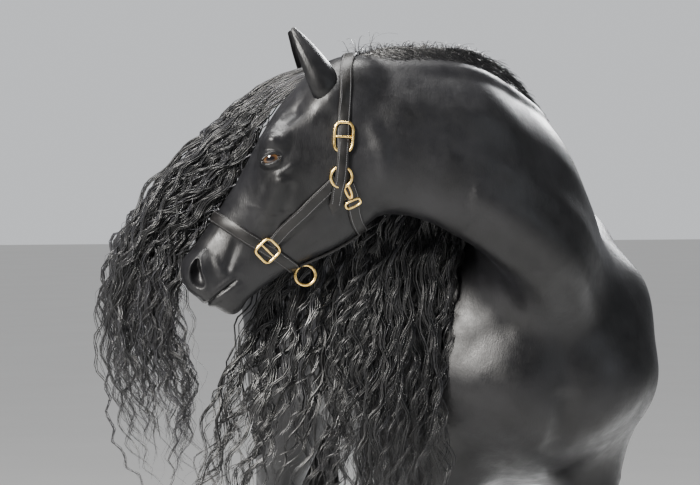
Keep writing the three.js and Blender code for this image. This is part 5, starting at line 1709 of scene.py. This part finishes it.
def make_stage():
    floor_material, tree, shader = material("studio_floor", (0.50, 0.50, 0.495), 0.8)
    tone = ramp(tree, noise(tree, 0.9, detail=2), [(0.3, (0.48, 0.48, 0.475)), (0.7, (0.53, 0.53, 0.525))])
    tree.links.new(tone, shader.inputs["Base Color"])
    shader.inputs["Emission Color"].default_value = (1, 1, 1, 1)
    shader.inputs["Emission Strength"].default_value = FLOOR_GLOW
    low, high = (np.array(c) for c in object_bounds())
    middle = (low + high) / 2
    deselect()
    bpy.ops.mesh.primitive_grid_add(x_subdivisions=40, y_subdivisions=40, size=2)
    floor = bpy.context.object
    floor.name = "studio_floor"
    co = places(floor)
    place(floor, co * [FLOOR_HALF, FLOOR_HALF, 0] + [middle[0], middle[1], -0.0005])
    smooth_shaded(floor)
    floor.data.materials.append(floor_material)
    floor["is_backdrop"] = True
    looks = bpy.context.scene.horse_looks

    for name, place_at, aim, size, power, color in LIGHTS:
        place_at, aim = metres(place_at), metres(aim)
        deselect()
        bpy.ops.object.light_add(type="AREA", location=tuple(place_at))
        lamp = bpy.context.object
        lamp.name = name
        lamp.data.shape = "RECTANGLE"
        lamp.data.size, lamp.data.size_y = size, size
        lamp.data.energy = power * looks.light
        lamp.data.color = color
        direction = Vector(tuple(aim)) - Vector(tuple(place_at))
        lamp.rotation_euler = direction.to_track_quat("-Z", "Y").to_euler()

    world = bpy.context.scene.world or bpy.data.worlds.new("studio")
    bpy.context.scene.world = world
    world.use_nodes = True
    tree = world.node_tree
    background = tree.nodes["Background"]
    background.inputs["Color"].default_value = (0.93, 0.95, 0.98, 1)
    seen = node(tree, "LightPath")
    brightness = node(tree, "Math", operation="MULTIPLY_ADD")
    brightness.inputs[1].default_value, brightness.inputs[2].default_value = WORLD_SEEN_BY_CAMERA, WORLD_ON_HORSE
    tree.links.new(seen.outputs["Is Camera Ray"], brightness.inputs[0])
    tree.links.new(brightness.outputs[0], background.inputs["Strength"])

    aim = metres(CAMERA_AIM)
    spot = aim - np.array([-math.sin(CAMERA_TURN), math.cos(CAMERA_TURN), 0.0]) * CAMERA_AWAY
    spot[2] = CAMERA_HEIGHT
    deselect()
    bpy.ops.object.camera_add(location=tuple(spot))
    camera = bpy.context.object
    camera.name = "photo_camera"
    camera.data.sensor_width = SENSOR_WIDTH
    camera.data.lens = SENSOR_WIDTH * FOCAL_PIXELS / PHOTO_WIDTH
    camera.rotation_euler = (Vector(aim) - Vector(spot)).to_track_quat("-Z", "Y").to_euler()
    bpy.context.scene.camera = camera


class HorseLooks(bpy.types.PropertyGroup):
    voxel: bpy.props.FloatProperty(
        name="Skin grain", description="Size of the fused skin's grain", default=0.0108, unit="LENGTH"
    )
    lock_strands: bpy.props.IntProperty(
        name="Strands a lock", description="How many strands make up one lock", default=24, min=4
    )
    strand: bpy.props.FloatProperty(
        name="Strand radius", description="Radius of a strand of the mane in millimetres", default=1.7
    )
    coat_color: bpy.props.FloatVectorProperty(
        name="Coat color", description="Colour of the short coat", subtype="COLOR", size=3,
        default=(0.0045, 0.0045, 0.0052), min=0, max=1,
    )
    coat_roughness: bpy.props.FloatProperty(
        name="Coat roughness", description="Dullness of the short coat", default=0.40
    )
    hair_color: bpy.props.FloatVectorProperty(
        name="Hair color", description="Colour of mane and tail", subtype="COLOR", size=3,
        default=(0.004, 0.004, 0.0046), min=0, max=1,
    )
    hair_roughness: bpy.props.FloatProperty(
        name="Hair roughness", description="Dullness of the long hair", default=0.35
    )
    light: bpy.props.FloatProperty(name="Light", description="Strength of the studio lights", default=1.0)


class ShapeSkin(bpy.types.Operator):
    """Models the body's one skin."""

    bl_idname = "horse.skin"
    bl_label = "Skin"

    def execute(self, context):
        skin = make_skin()
        flesh = ["torso", "neck", "head"]
        for name, table, sign in LEGS:
            flesh += [name + "_upper", name + "_lower"]
        finished(skin, "coat", finish("coat"), *flesh)
        return {"FINISHED"}


class ShapeEars(bpy.types.Operator):
    """Models both ears with their hollows."""

    bl_idname = "horse.ears"
    bl_label = "Ears"

    def execute(self, context):
        make_ears()
        return {"FINISHED"}


class ShapeEyes(bpy.types.Operator):
    """Models the eyeballs and their lids."""

    bl_idname = "horse.eyes"
    bl_label = "Eyes"

    def execute(self, context):
        make_eyes()
        return {"FINISHED"}


class ShapeHooves(bpy.types.Operator):
    """Models the four hooves."""

    bl_idname = "horse.hooves"
    bl_label = "Hooves"

    def execute(self, context):
        make_hooves()
        return {"FINISHED"}


class GrowMane(bpy.types.Operator):
    """Grows the mane and the forelock."""

    bl_idname = "horse.mane"
    bl_label = "Mane and forelock"

    def execute(self, context):
        make_mane()
        make_crest_hair()
        make_forelock()
        return {"FINISHED"}


class GrowTail(bpy.types.Operator):
    """Grows the tail and the feathers of the legs."""

    bl_idname = "horse.tail"
    bl_label = "Tail and feathers"

    def execute(self, context):
        make_tail()
        make_feathers()
        return {"FINISHED"}


class FitHalter(bpy.types.Operator):
    """Fits the leather halter and its brass."""

    bl_idname = "horse.halter"
    bl_label = "Halter"

    def execute(self, context):
        make_halter()
        return {"FINISHED"}


class SetStage(bpy.types.Operator):
    """Sets the floor, the lights and the camera."""

    bl_idname = "horse.stage"
    bl_label = "Stage"

    def execute(self, context):
        make_stage()
        return {"FINISHED"}


PIECES = (ShapeSkin, ShapeEars, ShapeEyes, ShapeHooves, GrowMane, GrowTail, FitHalter, SetStage)


class HorsePanel(bpy.types.Panel):
    """Lists the pieces and their settings in the sidebar."""

    bl_label = "Friesian stallion"
    bl_idname = "HORSE_PT_panel"
    bl_space_type = "VIEW_3D"
    bl_region_type = "UI"
    bl_category = "Horse"

    def draw(self, context):
        for name in HorseLooks.__annotations__:
            self.layout.prop(context.scene.horse_looks, name)
        for piece in PIECES:
            self.layout.operator(piece.bl_idname)


CLASSES = (HorseLooks, *PIECES, HorsePanel)


def register():
    for cls in CLASSES:
        bpy.utils.register_class(cls)
    bpy.types.Scene.horse_looks = bpy.props.PointerProperty(type=HorseLooks)


def unregister():
    del bpy.types.Scene.horse_looks
    for cls in reversed(CLASSES):
        bpy.utils.unregister_class(cls)


def main():
    register()
    bpy.ops.horse.skin()
    bpy.ops.horse.ears()
    bpy.ops.horse.eyes()
    bpy.ops.horse.hooves()
    bpy.ops.horse.mane()
    bpy.ops.horse.tail()
    bpy.ops.horse.halter()
    bpy.ops.horse.stage()


if __name__ == "__main__":
    main()
